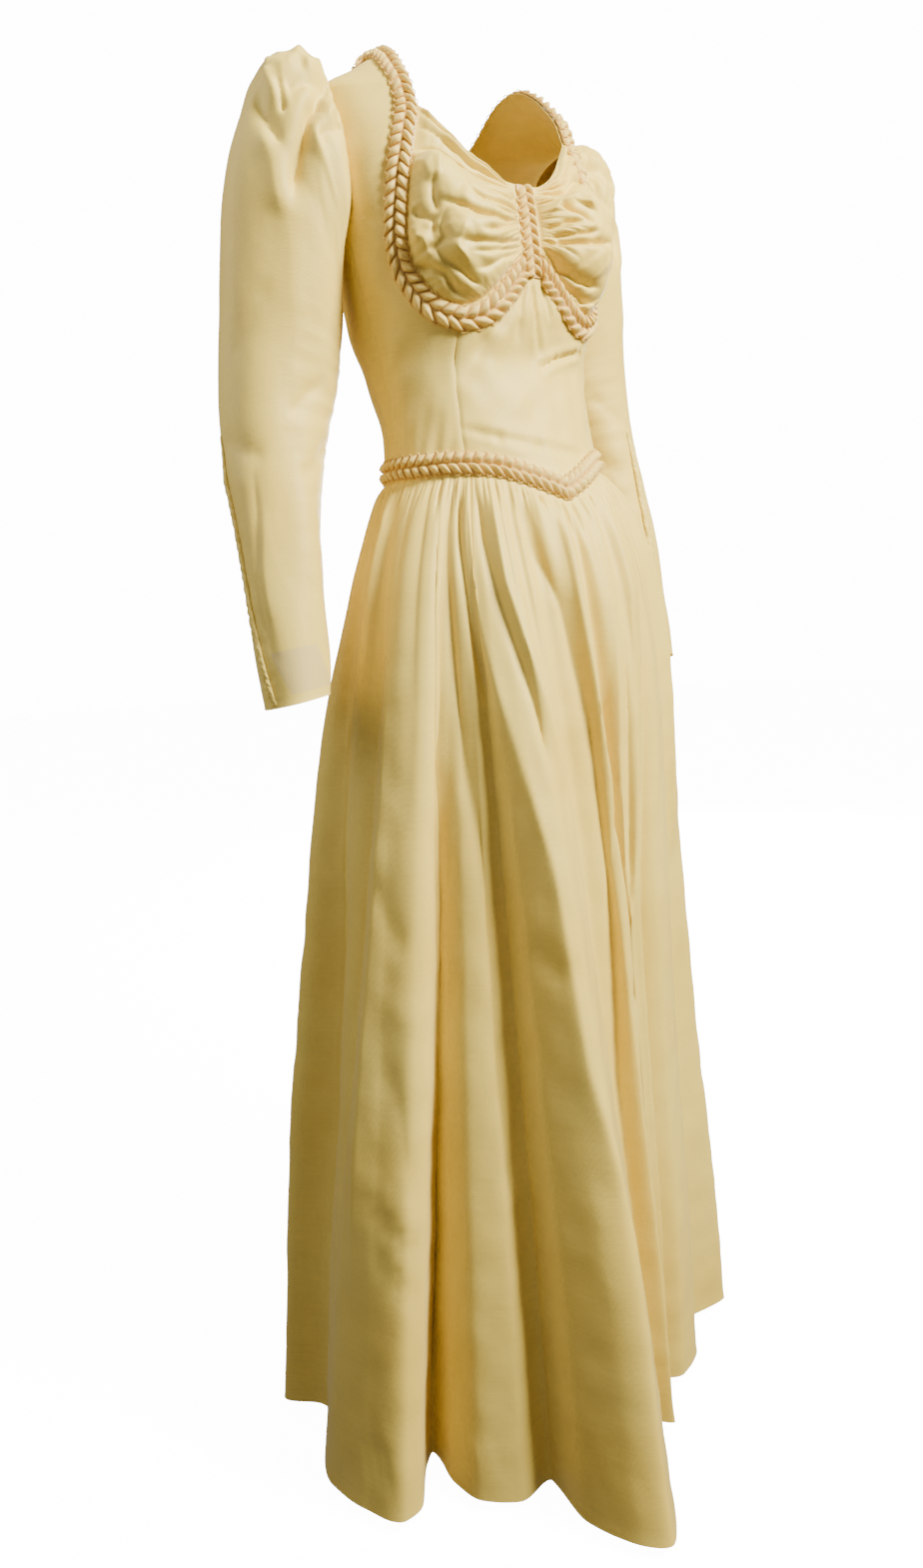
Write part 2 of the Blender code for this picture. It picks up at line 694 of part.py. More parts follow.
def head_folds(turn, number):
    """Gathers and deep folds of the sleeve head on one of its rings."""
    if number >= len(HEAD):
        return np.zeros(len(turn))
    ring = HEAD[number]
    degrees = np.degrees(turn)
    top = np.clip(HEAD_TOP_SHARE - np.abs(degrees - 180) / HEAD_TOP_DEGREES, 0, 1)
    gather = ring.gather * np.cos(turn * ARMHOLE_CELLS) * top
    valleys = [v.depth * np.exp(-(((degrees - v.degrees) / v.spread) ** 2)) for v in HEAD_VALLEYS]
    return gather - sum(valleys) * ring.fade


def normals(grid, closed):
    """Outward directions at the points of a grid."""
    if closed:
        ring = np.concatenate([grid[:, -1:], grid, grid[:, :1]], 1)
    else:
        ring = grid
    along = ring[:, 1:] - ring[:, :-1]
    up = ring[1:] - ring[:-1]
    facing = unit(np.cross(along[:-1] + along[1:], up[:, :-1] + up[:, 1:]))
    total = np.zeros_like(ring)
    total[:-1, :-1] += facing
    total[:-1, 1:] += facing
    total[1:, :-1] += facing
    total[1:, 1:] += facing
    if closed:
        total = total[:, 1:-1]
    return unit(total)


def sleeve(side, tag):
    """A long sleeve, full at its head and narrow at the wrist."""
    points = sleeve_rings(side)
    out = normals(points, True)
    facing = armhole_facing(side)
    out[0] = unit(out[0] - facing * (out[0] * facing).sum(-1, keepdims=True))
    out *= CLOTH / 2
    wall("sleeve_" + tag, points + out, points - out, closed=True)


def on_rings(grid, rows, columns):
    """Points between the rings and columns of a closed grid."""
    row = np.clip(np.floor(rows).astype(int), 0, len(grid) - 2)
    column_at = np.floor(columns).astype(int)
    up = (rows - row)[..., None]
    along = (columns - column_at)[..., None]
    first, second = column_at % grid.shape[1], (column_at + 1) % grid.shape[1]
    low = grid[row, first] * (1 - along) + grid[row, second] * along
    high = grid[row + 1, first] * (1 - along) + grid[row + 1, second] * along
    return low * (1 - up) + high * up


def sleeve_placket(side, tag):
    """The narrow puckered closing along the forearm."""
    rings = sleeve_rings(side)
    last_ring = len(rings) - 1
    count = int(round((last_ring - PLACKET_FIRST_RING) / PLACKET_RING_STEP))
    rows = np.linspace(PLACKET_FIRST_RING, last_ring, count + 1)[:, None]
    seat = PLACKET_LINES[side]
    share = (rows - PLACKET_FIRST_RING) / (last_ring - PLACKET_FIRST_RING)
    middle = seat.upper_degrees * (1 - share) + seat.cuff_degrees * share
    degrees = middle + PLACKET_HALF_DEGREES * np.array([-1.0, 0.0, 1.0])
    columns = degrees * ARMHOLE_CELLS / 180
    if side == LEFT:
        columns = (2 * ARMHOLE_CELLS - 1 - columns)[:, ::-1]
    rows = np.broadcast_to(rows, columns.shape)
    line = on_rings(rings, rows, columns)
    facing = unit(on_rings(normals(rings, True), rows, columns))
    pucker = PLACKET_PUCKER * np.cos(np.pi * np.arange(len(rows)))[:, None, None]
    low = CLOTH / 2 + BRAID_CLEARANCE
    inside = line + facing * low
    outside = line + facing * (low + PLACKET_THICKNESS + pucker)
    wall("sleeve_placket_" + tag, outside, inside)


def fold_columns():
    """Waist angle, hem point and gather wave for each column of the skirt."""
    waist = np.radians(column(FOLDS, "waist"))
    hem = np.radians(column(FOLDS, "hem"))
    radius = column(FOLDS, "radius")
    cells = [fold.cells for fold in FOLDS]
    count = len(FOLDS)
    start = np.r_[0, np.cumsum(cells)]
    marks = np.arange(-4, count + 5)
    turns = np.floor_divide(marks, count)
    seats = start[marks % count] + turns * start[-1]
    spot = marks % count
    spokes = np.stack([radius * np.sin(hem), -radius * np.cos(hem)], -1)[spot]
    angles = waist[spot] + 2 * np.pi * turns
    at = np.arange(start[-1])
    x = smooth(seats, spokes[:, 0], at)
    y = smooth(seats, spokes[:, 1], at)
    angle = hermite(seats, angles, at)
    wave = np.zeros(len(at))
    for k, number in enumerate(cells):
        share = np.arange(number) / number
        if number >= 3:
            wave[start[k] : start[k + 1]] = np.sin(2 * np.pi * share)
    return angle, np.stack([x, y], -1), wave, start


def smooth(xs, ys, x):
    """A curve through the table with gentle tangents, for folds."""
    xs = np.asarray(xs, float)
    tangent = np.gradient(ys, xs) * FOLD_EASE
    cell = np.clip(np.searchsorted(xs, x, side="right") - 1, 0, len(xs) - 2)
    width = xs[cell + 1] - xs[cell]
    t = (x - xs[cell]) / width
    start = (2 * t**3 - 3 * t**2 + 1) * ys[cell]
    leave = (t**3 - 2 * t**2 + t) * width * tangent[cell]
    end = (3 * t**2 - 2 * t**3) * ys[cell + 1]
    arrive = (t**3 - t**2) * width * tangent[cell + 1]
    return start + leave + end + arrive


def skirt_points(rows):
    """The skirt all round, a row for each share of its length and its top band above."""
    angle, hem, wave, _ = fold_columns()
    seam_height = waist_height(angle)
    top = trunk(angle, seam_height - SEAM_GAP, 0.0)
    below = trunk(angle, seam_height - WAIST_BAND, 0.0)
    shares = column(FLARE, "share")
    grid = [top]
    for share in rows:
        out = hermite(shares, column(FLARE, "out"), share)
        gather = hermite(shares, column(FLARE, "gather"), share) * GATHER_LIFT
        point = below.copy()
        point[:, :2] = below[:, :2] * (1 - share) + hem * share
        point[:, 2] = below[:, 2] * (1 - share) + HEM_HEIGHT * share
        away = unit(np.stack([point[:, 0], point[:, 1]], -1))
        full = np.clip(np.cos(angle - np.radians(FULL_SIDE_DEGREES)), 0, 1)
        full *= np.interp(share, [FULL_SIDE_FADE_FROM, FULL_SIDE_FADE_TO], [1.0, 0.0])
        reach = out * (1 + FULL_SIDE_SHARE * full) + gather * wave
        point[:, :2] += away * reach[:, None]
        grid.append(point)
    return np.array(grid)[::-1]


def skirt():
    """The gathered skirt, cut into five gores."""
    points = skirt_points(SKIRT_ROWS)
    out = normals(points, True)
    angle, _, _, start = fold_columns()
    for row in (-1, -2):
        flat = trunk(angle, points[row, :, 2], 1.0) - trunk(angle, points[row, :, 2], 0.0)
        out[row] = flat
    outside = points + out * CLOTH / 2
    inside = points - out * CLOTH / 2
    total = points.shape[1]
    waists = [fold.waist for fold in FOLDS]
    seams = [start[waists.index(degrees)] for degrees in GORE_SEAMS] + [total]
    tags = ("back_R", "side_R", "front", "side_L", "back_L")
    for tag, first, last in zip(tags, seams[:-1], seams[1:]):
        pick = np.arange(first, last + 1) % total
        gore = [inset(grid[:, pick], SEAM_GAP / 2, False, True) for grid in (outside, inside)]
        wall("skirt_" + tag, *gore)


def beside(line, mark, reach, side, offset):
    """A point on the form beside a dense line, on one side of it."""
    last = len(line) - 1
    run = line[min(mark + reach, last), :3] - line[max(mark - reach, 0), :3]
    angle, height = line[mark, 3:]
    facing = trunk(angle, height, 1.0) - trunk(angle, height, 0.0)
    return line[mark, :3] + unit(np.cross(facing, run)) * side * offset


def braid_row(dense, place, side, clear, width, upright):
    """The angles and heights of one row of a braid, slanted back from its middle."""
    count = (len(dense) - 1) // BRAID_STEPS
    offsets = np.array([BRAID_EDGE, width / 2, width - BRAID_EDGE / 2])
    slants = BRAID_SLANT / BRAID_PITCH * (1 - np.abs(2 * offsets / width - 1))
    if place in (0, count):
        slants = np.zeros(len(offsets))
    marks = (np.clip(place - slants, 0, count) * BRAID_STEPS).astype(int)
    if upright:
        return dense[marks, 3], dense[marks, 4] + offsets
    reach = BRAID_STEPS // 2
    points = np.array([beside(dense, m, reach, side, o) for m, o in zip(marks, offsets)])
    if place > count / 2:
        points[:, 0] = side * np.maximum(side * points[:, 0], clear)
    return angle_at(points), points[:, 2]


def braid(name, path, side, clear=-1.0, width=BRAID_WIDTH, upright=False):
    """A plaited band beside a line of angle and height, its chevrons raised."""
    line = trunk(path[:, 0], path[:, 1], 0.0)
    count = int(round(distances(line)[-1] / BRAID_PITCH))
    dense = evenly(np.c_[line, path], count * BRAID_STEPS)
    crests = (BRAID_CREST - BRAID_BASE) * np.array([BRAID_RIM_SHARE, 1.0, BRAID_RIM_SHARE])
    feet = np.arange(count + 1)
    inside = []
    outside = []
    for place in np.sort(np.r_[feet, feet[:-1] + BRAID_CREST_SHARE]):
        foot = place == round(place)
        angles, heights = braid_row(dense, place, side, clear, width, upright)
        high = [SHOULDER_CLEAR_FROM, SHOULDER_CLEAR_TO]
        proud = SHOULDER_CLEARANCE * np.interp(heights, high, [0.0, 1.0])
        base = CLOTH / 2 + BRAID_CLEARANCE + proud
        crest = BRAID_BASE + crests * (0.0 if foot else 1.0)
        outside.append(trunk(angles, heights, base + crest))
        if foot:
            inside.append(trunk(angles, heights, base))
    order = slice(None, None, -1) if side > 0 else slice(None)
    return band(name, np.array(outside)[:, order], np.array(inside)[:, order])


def band(name, outside, inside):
    """A closed strip whose raised outside has two rows for each row of its plain inside."""
    columns = outside.shape[1]
    points = np.concatenate([settle(outside).reshape(-1, 3), settle(inside).reshape(-1, 3)])
    half = outside.shape[0] * columns
    faces = []
    for i in range(outside.shape[0] - 1):
        for j in range(columns - 1):
            a = i * columns + j
            faces += [(a, a + 1, a + columns + 1), (a, a + columns + 1, a + columns)]
    for i in range(inside.shape[0] - 1):
        for j in range(columns - 1):
            a = half + i * columns + j
            faces += [(a, a + columns + 1, a + 1), (a, a + columns, a + columns + 1)]
        for j, turned in ((0, False), (columns - 1, True)):
            low = half + i * columns + j
            foot, crest, head = [(2 * i + k) * columns + j for k in range(3)]
            side_faces = [(low, foot, crest), (low, crest, low + columns), (low + columns, crest, head)]
            faces += [face[::-1] for face in side_faces] if turned else side_faces
    top = (outside.shape[0] - 1) * columns
    low_top = half + (inside.shape[0] - 1) * columns
    for j in range(columns - 1):
        faces += [(half + j, half + j + 1, j + 1), (half + j, j + 1, j)]
        a, b, c, d = top + j, top + j + 1, low_top + j, low_top + j + 1
        faces += [(a, b, d), (a, d, c)]
    return solid(name, points, faces, BRAID_CREAM)


def neck_braid(side, tag):
    """The braid from the centre back neck over the shoulder and round the cup."""
    back = back_neck(24)[::-1]
    front = join(
        seam(NECK_EDGE, 12)[::-1],
        seam(DRAPE_END, 8)[::-1],
        seam(CUP_SIDE, 30)[::-1],
        seam(CUP_BOTTOM, 20)[::-1],
    )
    front[0, 0] = np.pi / 2
    path = join(back, front)
    clear = CENTRE_BRAID_HALF + SEAM_GAP
    keep = form(path[:, 0], path[:, 1])[:, 0] > clear
    keep[: len(back)] = True
    path = path[keep] * np.array([side, 1.0])
    path[0, 0] -= side * BACK_BRAID_TRIM
    braid("braid_neck_" + tag, path, side, clear)


def waist_braid():
    """The braid round the waist seam, with its ends at the wearer's left side."""
    angles = np.radians(np.linspace(WAIST_BRAID_FROM, WAIST_BRAID_TO, 240))
    path = np.stack([angles, waist_height(angles) - BRAID_WIDTH / 2], -1)
    braid("braid_waist", path, LEFT, upright=True)


def centre_braid():
    """The short braid down the middle between the cups."""
    heights = np.linspace(NECKLINE[0].height, CUP_BOTTOM[0].height - BRAID_WIDTH, 12)
    path = np.stack([angle_across(CENTRE_BRAID_HALF, heights) * LEFT, heights], -1)
    braid("braid_centre", path, RIGHT, width=2 * CENTRE_BRAID_HALF)


def main():
    """Build the dress."""
    clear_scene()
    for side, tag in ((RIGHT, "R"), (LEFT, "L")):
        side_front(side, tag)
        bodice_back(side, tag)
        cup(side, tag)
        neck_drape(side, tag)
        sleeve(side, tag)
        sleeve_placket(side, tag)
        neck_braid(side, tag)
    midriff_front()
    skirt()
    waist_braid()
    centre_braid()


main()
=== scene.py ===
"""The bridesmaid dress with its cloth, folds, gathers and plaited braid in detail.

The pieces follow the same form, seams and folds as the model's solids, in the
same frame: the front faces -Y, the wearer's right arm is on the -X side, +Z is
up and the origin lies between the shoulder seams. All lengths are in metres.
"""
from collections import namedtuple

import bpy
import numpy as np
from mathutils import Matrix, Vector


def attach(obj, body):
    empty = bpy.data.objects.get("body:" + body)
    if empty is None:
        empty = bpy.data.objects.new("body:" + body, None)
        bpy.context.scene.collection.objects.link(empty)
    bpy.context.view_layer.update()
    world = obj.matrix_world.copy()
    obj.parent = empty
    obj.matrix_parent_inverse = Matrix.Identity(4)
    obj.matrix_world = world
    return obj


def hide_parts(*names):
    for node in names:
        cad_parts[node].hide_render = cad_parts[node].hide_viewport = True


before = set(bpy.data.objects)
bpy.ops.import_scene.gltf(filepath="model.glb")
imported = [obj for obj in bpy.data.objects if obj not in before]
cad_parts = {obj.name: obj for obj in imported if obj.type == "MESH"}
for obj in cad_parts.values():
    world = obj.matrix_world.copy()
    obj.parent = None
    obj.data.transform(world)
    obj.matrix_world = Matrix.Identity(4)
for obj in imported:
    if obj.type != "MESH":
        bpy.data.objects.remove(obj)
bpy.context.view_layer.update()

RIGHT = -1
LEFT = 1

Spot = namedtuple("Spot", "across height")
# A fold line: how far it rises or sinks, how wide it fades on the side to its left and to its right, and
# the points that it runs through
Line = namedtuple("Line", "rise left right points")


def table(head, text):
    """Records from rows of numbers, under names of which /mm marks those in millimetres."""
    record = namedtuple("Record", head.replace("/mm", ""))
    units = [1000 if name.endswith("/mm") else 1 for name in head.split()]
    rows = [zip(row.split(), units) for row in text.split(";")]
    return [record(*(float(number) / per for number, per in row)) for row in rows]


def spots(text, across=1000, height=1000):
    """Points from pairs of numbers, in thousandths unless other units are given."""
    pairs = [pair.split(",") for pair in text.split()]
    return [Spot(float(x) / across, float(y) / height) for x, y in pairs]


def fold_lines(text, across=1, height=1):
    """Fold lines from rows of the rise and the two widths in millimetres, then the points."""
    lines = []
    for row in text.strip().splitlines():
        *sizes, points = row.split(maxsplit=3)
        sizes = [float(size) / 1000 for size in sizes]
        lines.append(Line(*sizes, spots(points, across, height)))
    return lines


# Sizes that the scene shares with the solids
HEM_HEIGHT = -1.405
WAIST_HEIGHT = -0.380
UNDERARM_HEIGHT = -0.149
SHOULDER_TIP_HEIGHT = -0.024
BACK_NECK_HEIGHT = -0.045
ARMHOLE_BACK_DEPTH = 0.046
PRINCESS_AT_WAIST = 0.090
PRINCESS_AT_CUP = 0.083
CUP_RISE = 0.034
CUP_FLAT_SHARE = 0.10
BRAID_WIDTH = 0.0232
BRAID_PITCH = 0.0104
BRAID_SLANT = 0.0065
CENTRE_BRAID_HALF = 0.0105
LEAN = 0.060
LEAN_REACH = 0.12
WAIST_BAND = 0.0125
FULL_SIDE_DEGREES = 58
FULL_SIDE_SHARE = 0.65

# Sizes of the scene's own detail
ARMHOLE_FRONT_DEPTH = 0.021
CLOTH = 0.0009
SEAM_DIP = 0.0011
SEAM_DIP_WIDTH = 0.0022
BRAID_RISE = 0.0056
BRAID_STAGGER = 0.5
BRAID_BASE = 0.0008
BRAID_FLAT = 0.94
BRAID_CLEARANCE = 0.0008
LOOP_RADIUS = 0.0019
LOOP_WIRE = 0.00055
LOOP_LIFT = 0.0011
LOOP_SEAT = 0.93
LOOP_END_GAP = 0.3
# The loops' raised value, which sets how little painted pocket shade they take
LOOP_RAISED = 0.7
BRAID_FINE = 40
GATHER_LIFT = 0.0018
STRAIN_DEPTH = 0.0012
CUP_PUFF_RISE = 0.0065
DRAPE_RISE = 0.0060
DRAPE_ROLL_RISE = 0.0022
FAR_HEAD_HOLLOW = 0.0090
EDGE_ROLL = 0.0005
HEM_STITCH_DIP = 0.0010
HEM_DEPTH = 0.066
EDGE_FADE = 0.020
ARM_RADIUS = 0.058
WAIST_RADIUS = 0.115
HEM_RADIUS = 0.28

# The small relief of the cloth by its place: its height, or a share where it is a
# depth of other folds, then the seed of its draw and its pitch
RELIEF = {
    "side swell": (0.0009, 11, 0.055),
    "side waist": (0.0011, 21, 0.021),
    "back swell": (0.0011, 31, 0.070),
    "back waist": (0.0012, 33, 0.026),
    "midriff swell": (0.0007, 41, 0.045),
    "midriff under cup": (0.0010, 43, 0.0095),
    "cup gathers": (0.0038, 50, 0.0105),
    "cup gather depth": (0.35, 51, 0.03),
    "cup fine gathers": (0.0014, 52, 0.0048),
    "cup outer crumples": (0.0015, 53, 0.022),
    "cup inner crumples": (0.0010, 54, 0.020),
    "cup edge tucks": (0.0016, 55, 0.0075),
    "cup foot tucks": (0.0012, 56, 0.0085),
    "drape pleats": (0.0050, 61, 0.0140),
    "drape crumples": (0.0010, 63, 0.016),
    "sleeve gathers": (0.0030, 71, 0.0135),
    "sleeve fine gathers": (0.0022, 73, 0.0058),
    "sleeve head crumples": (0.0011, 74, 0.040),
    "sleeve swell": (0.0019, 75, 0.10),
    "sleeve crumples": (0.0007, 76, 0.055),
    "elbow creases": (0.0022, 78, 0.026),
    "beside placket": (0.0012, 79, 0.008),
    "placket puckers": (0.0024, 81, 0.0085),
    "waist tucks": (0.0030, 91, 0.0125),
    "waist tuck depth": (0.4, 92, 0.07),
    "waist fine tucks": (0.0020, 93, 0.0060),
    "hip folds": (0.0016, 94, 0.031),
    "skirt swell": (0.0008, 95, 0.11),
    "skirt fine swell": (0.0004, 96, 0.05),
    "hem puckers": (0.0006, 97, 0.019),
    "skirt creases": (0.0006, 98, 0.085),
}

# Cells of the solids' seams, each split into this many
FINE = 6
PRINCESS_CELLS = 5
CUP_BOTTOM_CELLS = 10
CUP_SIDE_CELLS = 10
DRAPE_END_CELLS = 3
NECK_EDGE_CELLS = 4
ARMHOLE_CELLS = 12
SIDE_SEAM_CELLS = (
    PRINCESS_CELLS + CUP_SIDE_CELLS + DRAPE_END_CELLS + NECK_EDGE_CELLS - ARMHOLE_CELLS
)
BACK_NECK_CELLS = 7
SLEEVE_COLUMNS = 192
PLACKET_COLUMNS = 360
PANEL_CELLS = 6
SKIRT_FINE = 5
CUP_FINE = 10

TRUNK = table("height/mm half_width/mm front/mm back/mm centre_y/mm squareness", """
    -450 140 121 108 2 2; -412 128 113 103 -2 2; -374 121 97 99 -1 2;
    -330 120 91 97 7 2.1; -285 124 88 96 18 2.3; -255 129 96 98 23 2.5;
    -230 134 102 100 26 2.6; -180 145 101 103 29 2.5; -125 155 98 104 34 2.3;
    -75 162 86 98 40 2.2; -30 165 73 85 45 2; -3 129 63.5 73 48 2; 24 86 52 58 50 2
""")

WAIST_POINT = table("degrees depth/mm", """
    0 32; 11 22.5; 22 13; 34 5; 46 1.5; 60 0; 180 0
""")

# Edges of the cups, the neck and the drapes, across and up in millimetres
CUP_BOTTOM = spots("0,-181 12,-183.5 30,-198 44,-212.5 59,-225.5 72,-232 83,-233.5")
CUP_SIDE = spots("83,-233.5 100,-227 115,-208 123,-187 125,-166 123,-140 119,-115 112,-91")
DRAPE_END = spots("112,-91 105,-71 99,-56 96.5,-45")
NECK_EDGE = spots("96.5,-45 96.2,-20 92.5,3 86,24")
NECKLINE = spots("0,-115.5 20,-113.5 39,-104 58,-88 72,-73 88,-55 96.5,-45")
BACK_NECK = spots("86,24 85,6 79,-16 64,-34 38,-43 0,-45")
DRAPE_FOOT = spots("0,-121 30,-119.5 60,-114 74,-103 87,-94.5 98,-91 112,-91")

SLEEVE = table("inner/mm inner_height/mm outer/mm outer_height/mm centre_y/mm half_depth/mm lift/mm", """
    156 -156 174 -4 51 46 0; 157 -167 197 4 54 56 0; 155 -180 224 -11 58 60 0;
    150 -196 242 -52 63 61 0; 144 -216 254 -108 70 61 0; 142 -246 261 -180 77 61 1;
    151 -292 267 -258 79 58 5; 172 -354 273 -338 72 53 9; 190 -425 278 -415 54 46 10;
    202.5 -500 282 -490 35 40.5 9; 211.5 -562 283 -560 19 36 7; 222 -600 282 -609 8 31 4
""")
# Sleeve folds, through points of station along the rings and degrees round the
# arm: 90 is the front, 180 the outside and 270 the back
SLEEVE_LINES = fold_lines("""
    -14 10 9  0.5,131 1.2,130 1.5,126 2.5,112 3.7,110 4.9,114
    -8 10 10  3.2,140 3.05,135 2.65,135 2.1,137
    -5 5 6  0.7,137 1.4,131 2.1,127 3.1,130
    7.5 12 10  3,168 3.08,158 3.43,154 3.55,145 3.68,136
    -6 5 5  3.2,144 3.45,138 3.7,131
    -4 6 6  2.7,160 2.95,158 3.35,155
    5.5 7 8  3.2,146 2.88,142 2.4,143 1.7,158 1,176
    5.5 7 7  2.98,136 2.33,134 1.7,138 0.7,152
    -7 12 9  3.7,165 3.95,152 4.1,140 4.2,126
    4 14 12  4.3,150 4.6,134 5.3,122
    -3 5 5  0.7,126 1,112 1.5,98
    -4.5 7 6  3.2,98 2.6,95 2.1,92 1,95
    4.5 10 10  1,108 2.2,103 3.6,101
    -6 7 7  0.5,168 1.2,172 2.1,168
    -6 8 8  0.5,192 1.4,198 2.6,200
    -11 10 12  0.5,222 1.5,226 2.6,240 3.9,246 4.9,242
    6 10 10  0.8,208 2.2,218 3.4,222
    -5 8 8  0.6,246 1.6,256 2.9,262
    -2.6 10 9  8.1,196 8.25,168 8.38,150 8.5,128
    1.2 12 12  8.5,215 8.65,176 8.8,150
    -2.2 9 6  8.47,146 9.22,149 9.95,160 10.5,158 10.93,154 11.15,138
    1.5 8 8  9.1,138 9.9,147 10.6,145
    -1.6 16 14  6.2,128 6.9,150 7.3,172
    -3.5 9 9  7.2,60 7.6,84 7.9,104
    -3.5 8 8  8.1,40 8.5,66 8.7,92
    -3 10 10  7.4,300 7.9,275 8.2,250
    -3 9 9  8.8,310 9,280 9.3,255
""")
# The far sleeve's folds lie a little round from the near one's
FAR_SLEEVE_TURN = -7.0
SLEEVE_FOLD_SHARE = {RIGHT: 1.15, LEFT: 0.7}
# The way round the sleeve and the way down its outside, from the armhole and
# then at each ring
SLEEVE_MEASURES = table("girth/mm run/mm", """
    356 0; 455 27; 467 53; 475 84; 462 128; 434 185; 406 258; 372 336; 324 417; 284 496;
    252 573; 226 642; 198 687
""")
# Where each sleeve is fuller or slimmer than its rings, round the arm in degrees
# and along it in stations
SLEEVE_SWELLS = {
    RIGHT: table("height/mm degrees wide start full fade gone", """
        8 48 28 0 0.8 2 4.5; -8.5 204 42 0.6 1.6 3.6 5.4
    """),
    LEFT: table("height/mm degrees wide start full fade gone", """
        8 48 28 0 0.8 2 4.5; -12 142 34 0.4 1.4 4 6.5
    """),
}
ARMHOLE_TUCK = 0.0016
# Where the placket runs round each forearm, from its upper end to the cuff
PLACKET_FROM = 8.0
PLACKET_LINES = {RIGHT: (206.0, 169.0), LEFT: (106.0, 88.0)}
PLACKET_HALF_DEGREES = 6.5
PLACKET_LENGTH = 0.23
PLACKET_EDGE_RISE = 0.0019
PLACKET_CROWN = 0.0014
PLACKET_GAP = 0.0004

FOLDS = table("waist hem radius/mm cells", """
    -180 -180 312 4; -169 -167 266 4; -158 -155 308 4; -147 -143 258 4; -136 -131 283 4;
    -124 -119 250 4; -112 -107 292 4; -100 -99 257 3; -92 -87 289 4; -82 -79 314 3; -72 -70 320 3;
    -63 -62 314 1; -61 -61 292 1; -59 -65 247 1; -57 -66 225 2; -54 -57 252 2; -51.5 -50 271 2;
    -49 -41 268 2; -46.5 -34 244 2; -43.5 -29 300 2; -40 -22 341 2; -36 -17 352 3; -30 -9 280 3;
    -22 -2 212 3; -12 5 232 3; -3 9 186 3; 6 13 206 3; 14 17 180 3; 23 24 206 3; 33 37 212 3;
    43 50 196 4; 54 61 266 4; 65 72 236 4; 76 83 285 4; 88 95 246 4; 100 107 296 4; 112 119 256 4;
    124 131 304 4; 137 143 262 4; 150 155 310 4; 165 168 266 4
""")
GORE_SEAMS = (-180, -100, -46.5, 43, 88)

FLARE = table("share out/mm gather", """
    0 0 0; 0.02 9 0.7; 0.055 18 1; 0.11 25 0.8; 0.19 27 0.45; 0.3 25 0.15; 0.44 21 0;
    0.6 17 0; 0.78 12 0; 1 0 0
""")

# Creases in the front panels: two ends across and up, width and depth
MIDRIFF_CREASES = table("x0/mm z0/mm x1/mm z1/mm width/mm depth/mm", """
    -2 -212 1 -244 2.2 1.8; 1 -244 10 -272 3.5 1.2; -12 -210 -20 -236 2.5 1.4;
    -20 -236 -20 -260 4 0.8; 12 -212 20 -240 2.5 1.2; -24 -223 -45 -246 6 1.8;
    -45 -246 -63 -273 7 1.8; -63 -273 -78 -296 8 1; -41 -232 -55 -255 5 -1;
    10 -289 33 -280 3 2.2; 33 -280 67 -272 3.2 2.6; 67 -272 90 -267 3 1.2;
    -83 -349 -58 -358 4 1; -58 -358 -17 -368 4.5 1.4; -17 -368 41 -379 4.5 1.2
""")
MIDRIFF_DEPTH = 1.8
# Folds of the right cup and the left cup, through points across from the
# centre to the outer edge and from the bottom to the top, in thousandths
CUP_WIDTH = 0.135
CUP_HEIGHT = 0.120
CUP_FOLD_SHARE = {RIGHT: 1.5, LEFT: 1.9}
CUP_LINES = {
    RIGHT: fold_lines("""
        -5 4 3  800,660 656,620 456,560 211,480 20,490
        -3.6 3.2 3.2  44,440 200,420 356,410 500,440
        -4.2 3.6 3  700,400 489,350 322,290 40,210
        -3.6 3.2 3  620,310 389,250 50,130
        -3.4 3.4 3.4  60,70 367,170 544,180 660,200
        -3.8 3.6 3  50,620 240,660 440,700 600,780
        -3.4 3 3  40,760 200,800 380,860
        -3 2.6 2.6  40,560 200,570 360,610
        -4.5 4.5 4.5  830,800 822,680 775,580
        -4.5 3.5 4.5  970,630 811,540 822,430
        -4 3.5 3.5  730,600 767,490 744,430 822,400 930,390
        -3.6 3.5 3.5  822,410 789,300 733,210 690,100
        -4.2 3.5 3.5  1000,330 900,300 844,240 875,100
        3.4 5 5  960,500 890,460 860,350
        3 5 5  600,500 700,350 660,240
        5 10 10  760,880 860,900 930,820
    """, 1000, 1000),
    LEFT: fold_lines("""
        -8 5 4  180,780 260,755 333,710 430,630
        3.6 4 5  22,610 167,840 400,940 578,950
        -3.8 3.4 3.4  22,420 178,560 300,600
        -4.6 4 3.4  33,220 222,340 467,460 660,500
        -5.5 4 3.6  11,120 300,80 522,130 720,200
        -4.5 4 3.6  67,40 489,30 733,70 900,160
        5.5 11 11  489,900 422,800
        -3.6 3.4 3.4  40,320 240,440 440,550
        -4.2 4 4  700,820 740,660 700,520
        -4 3.8 3.8  950,620 820,520 760,380 800,240
        3.4 5 5  900,720 840,600 880,440
    """, 1000, 1000),
}
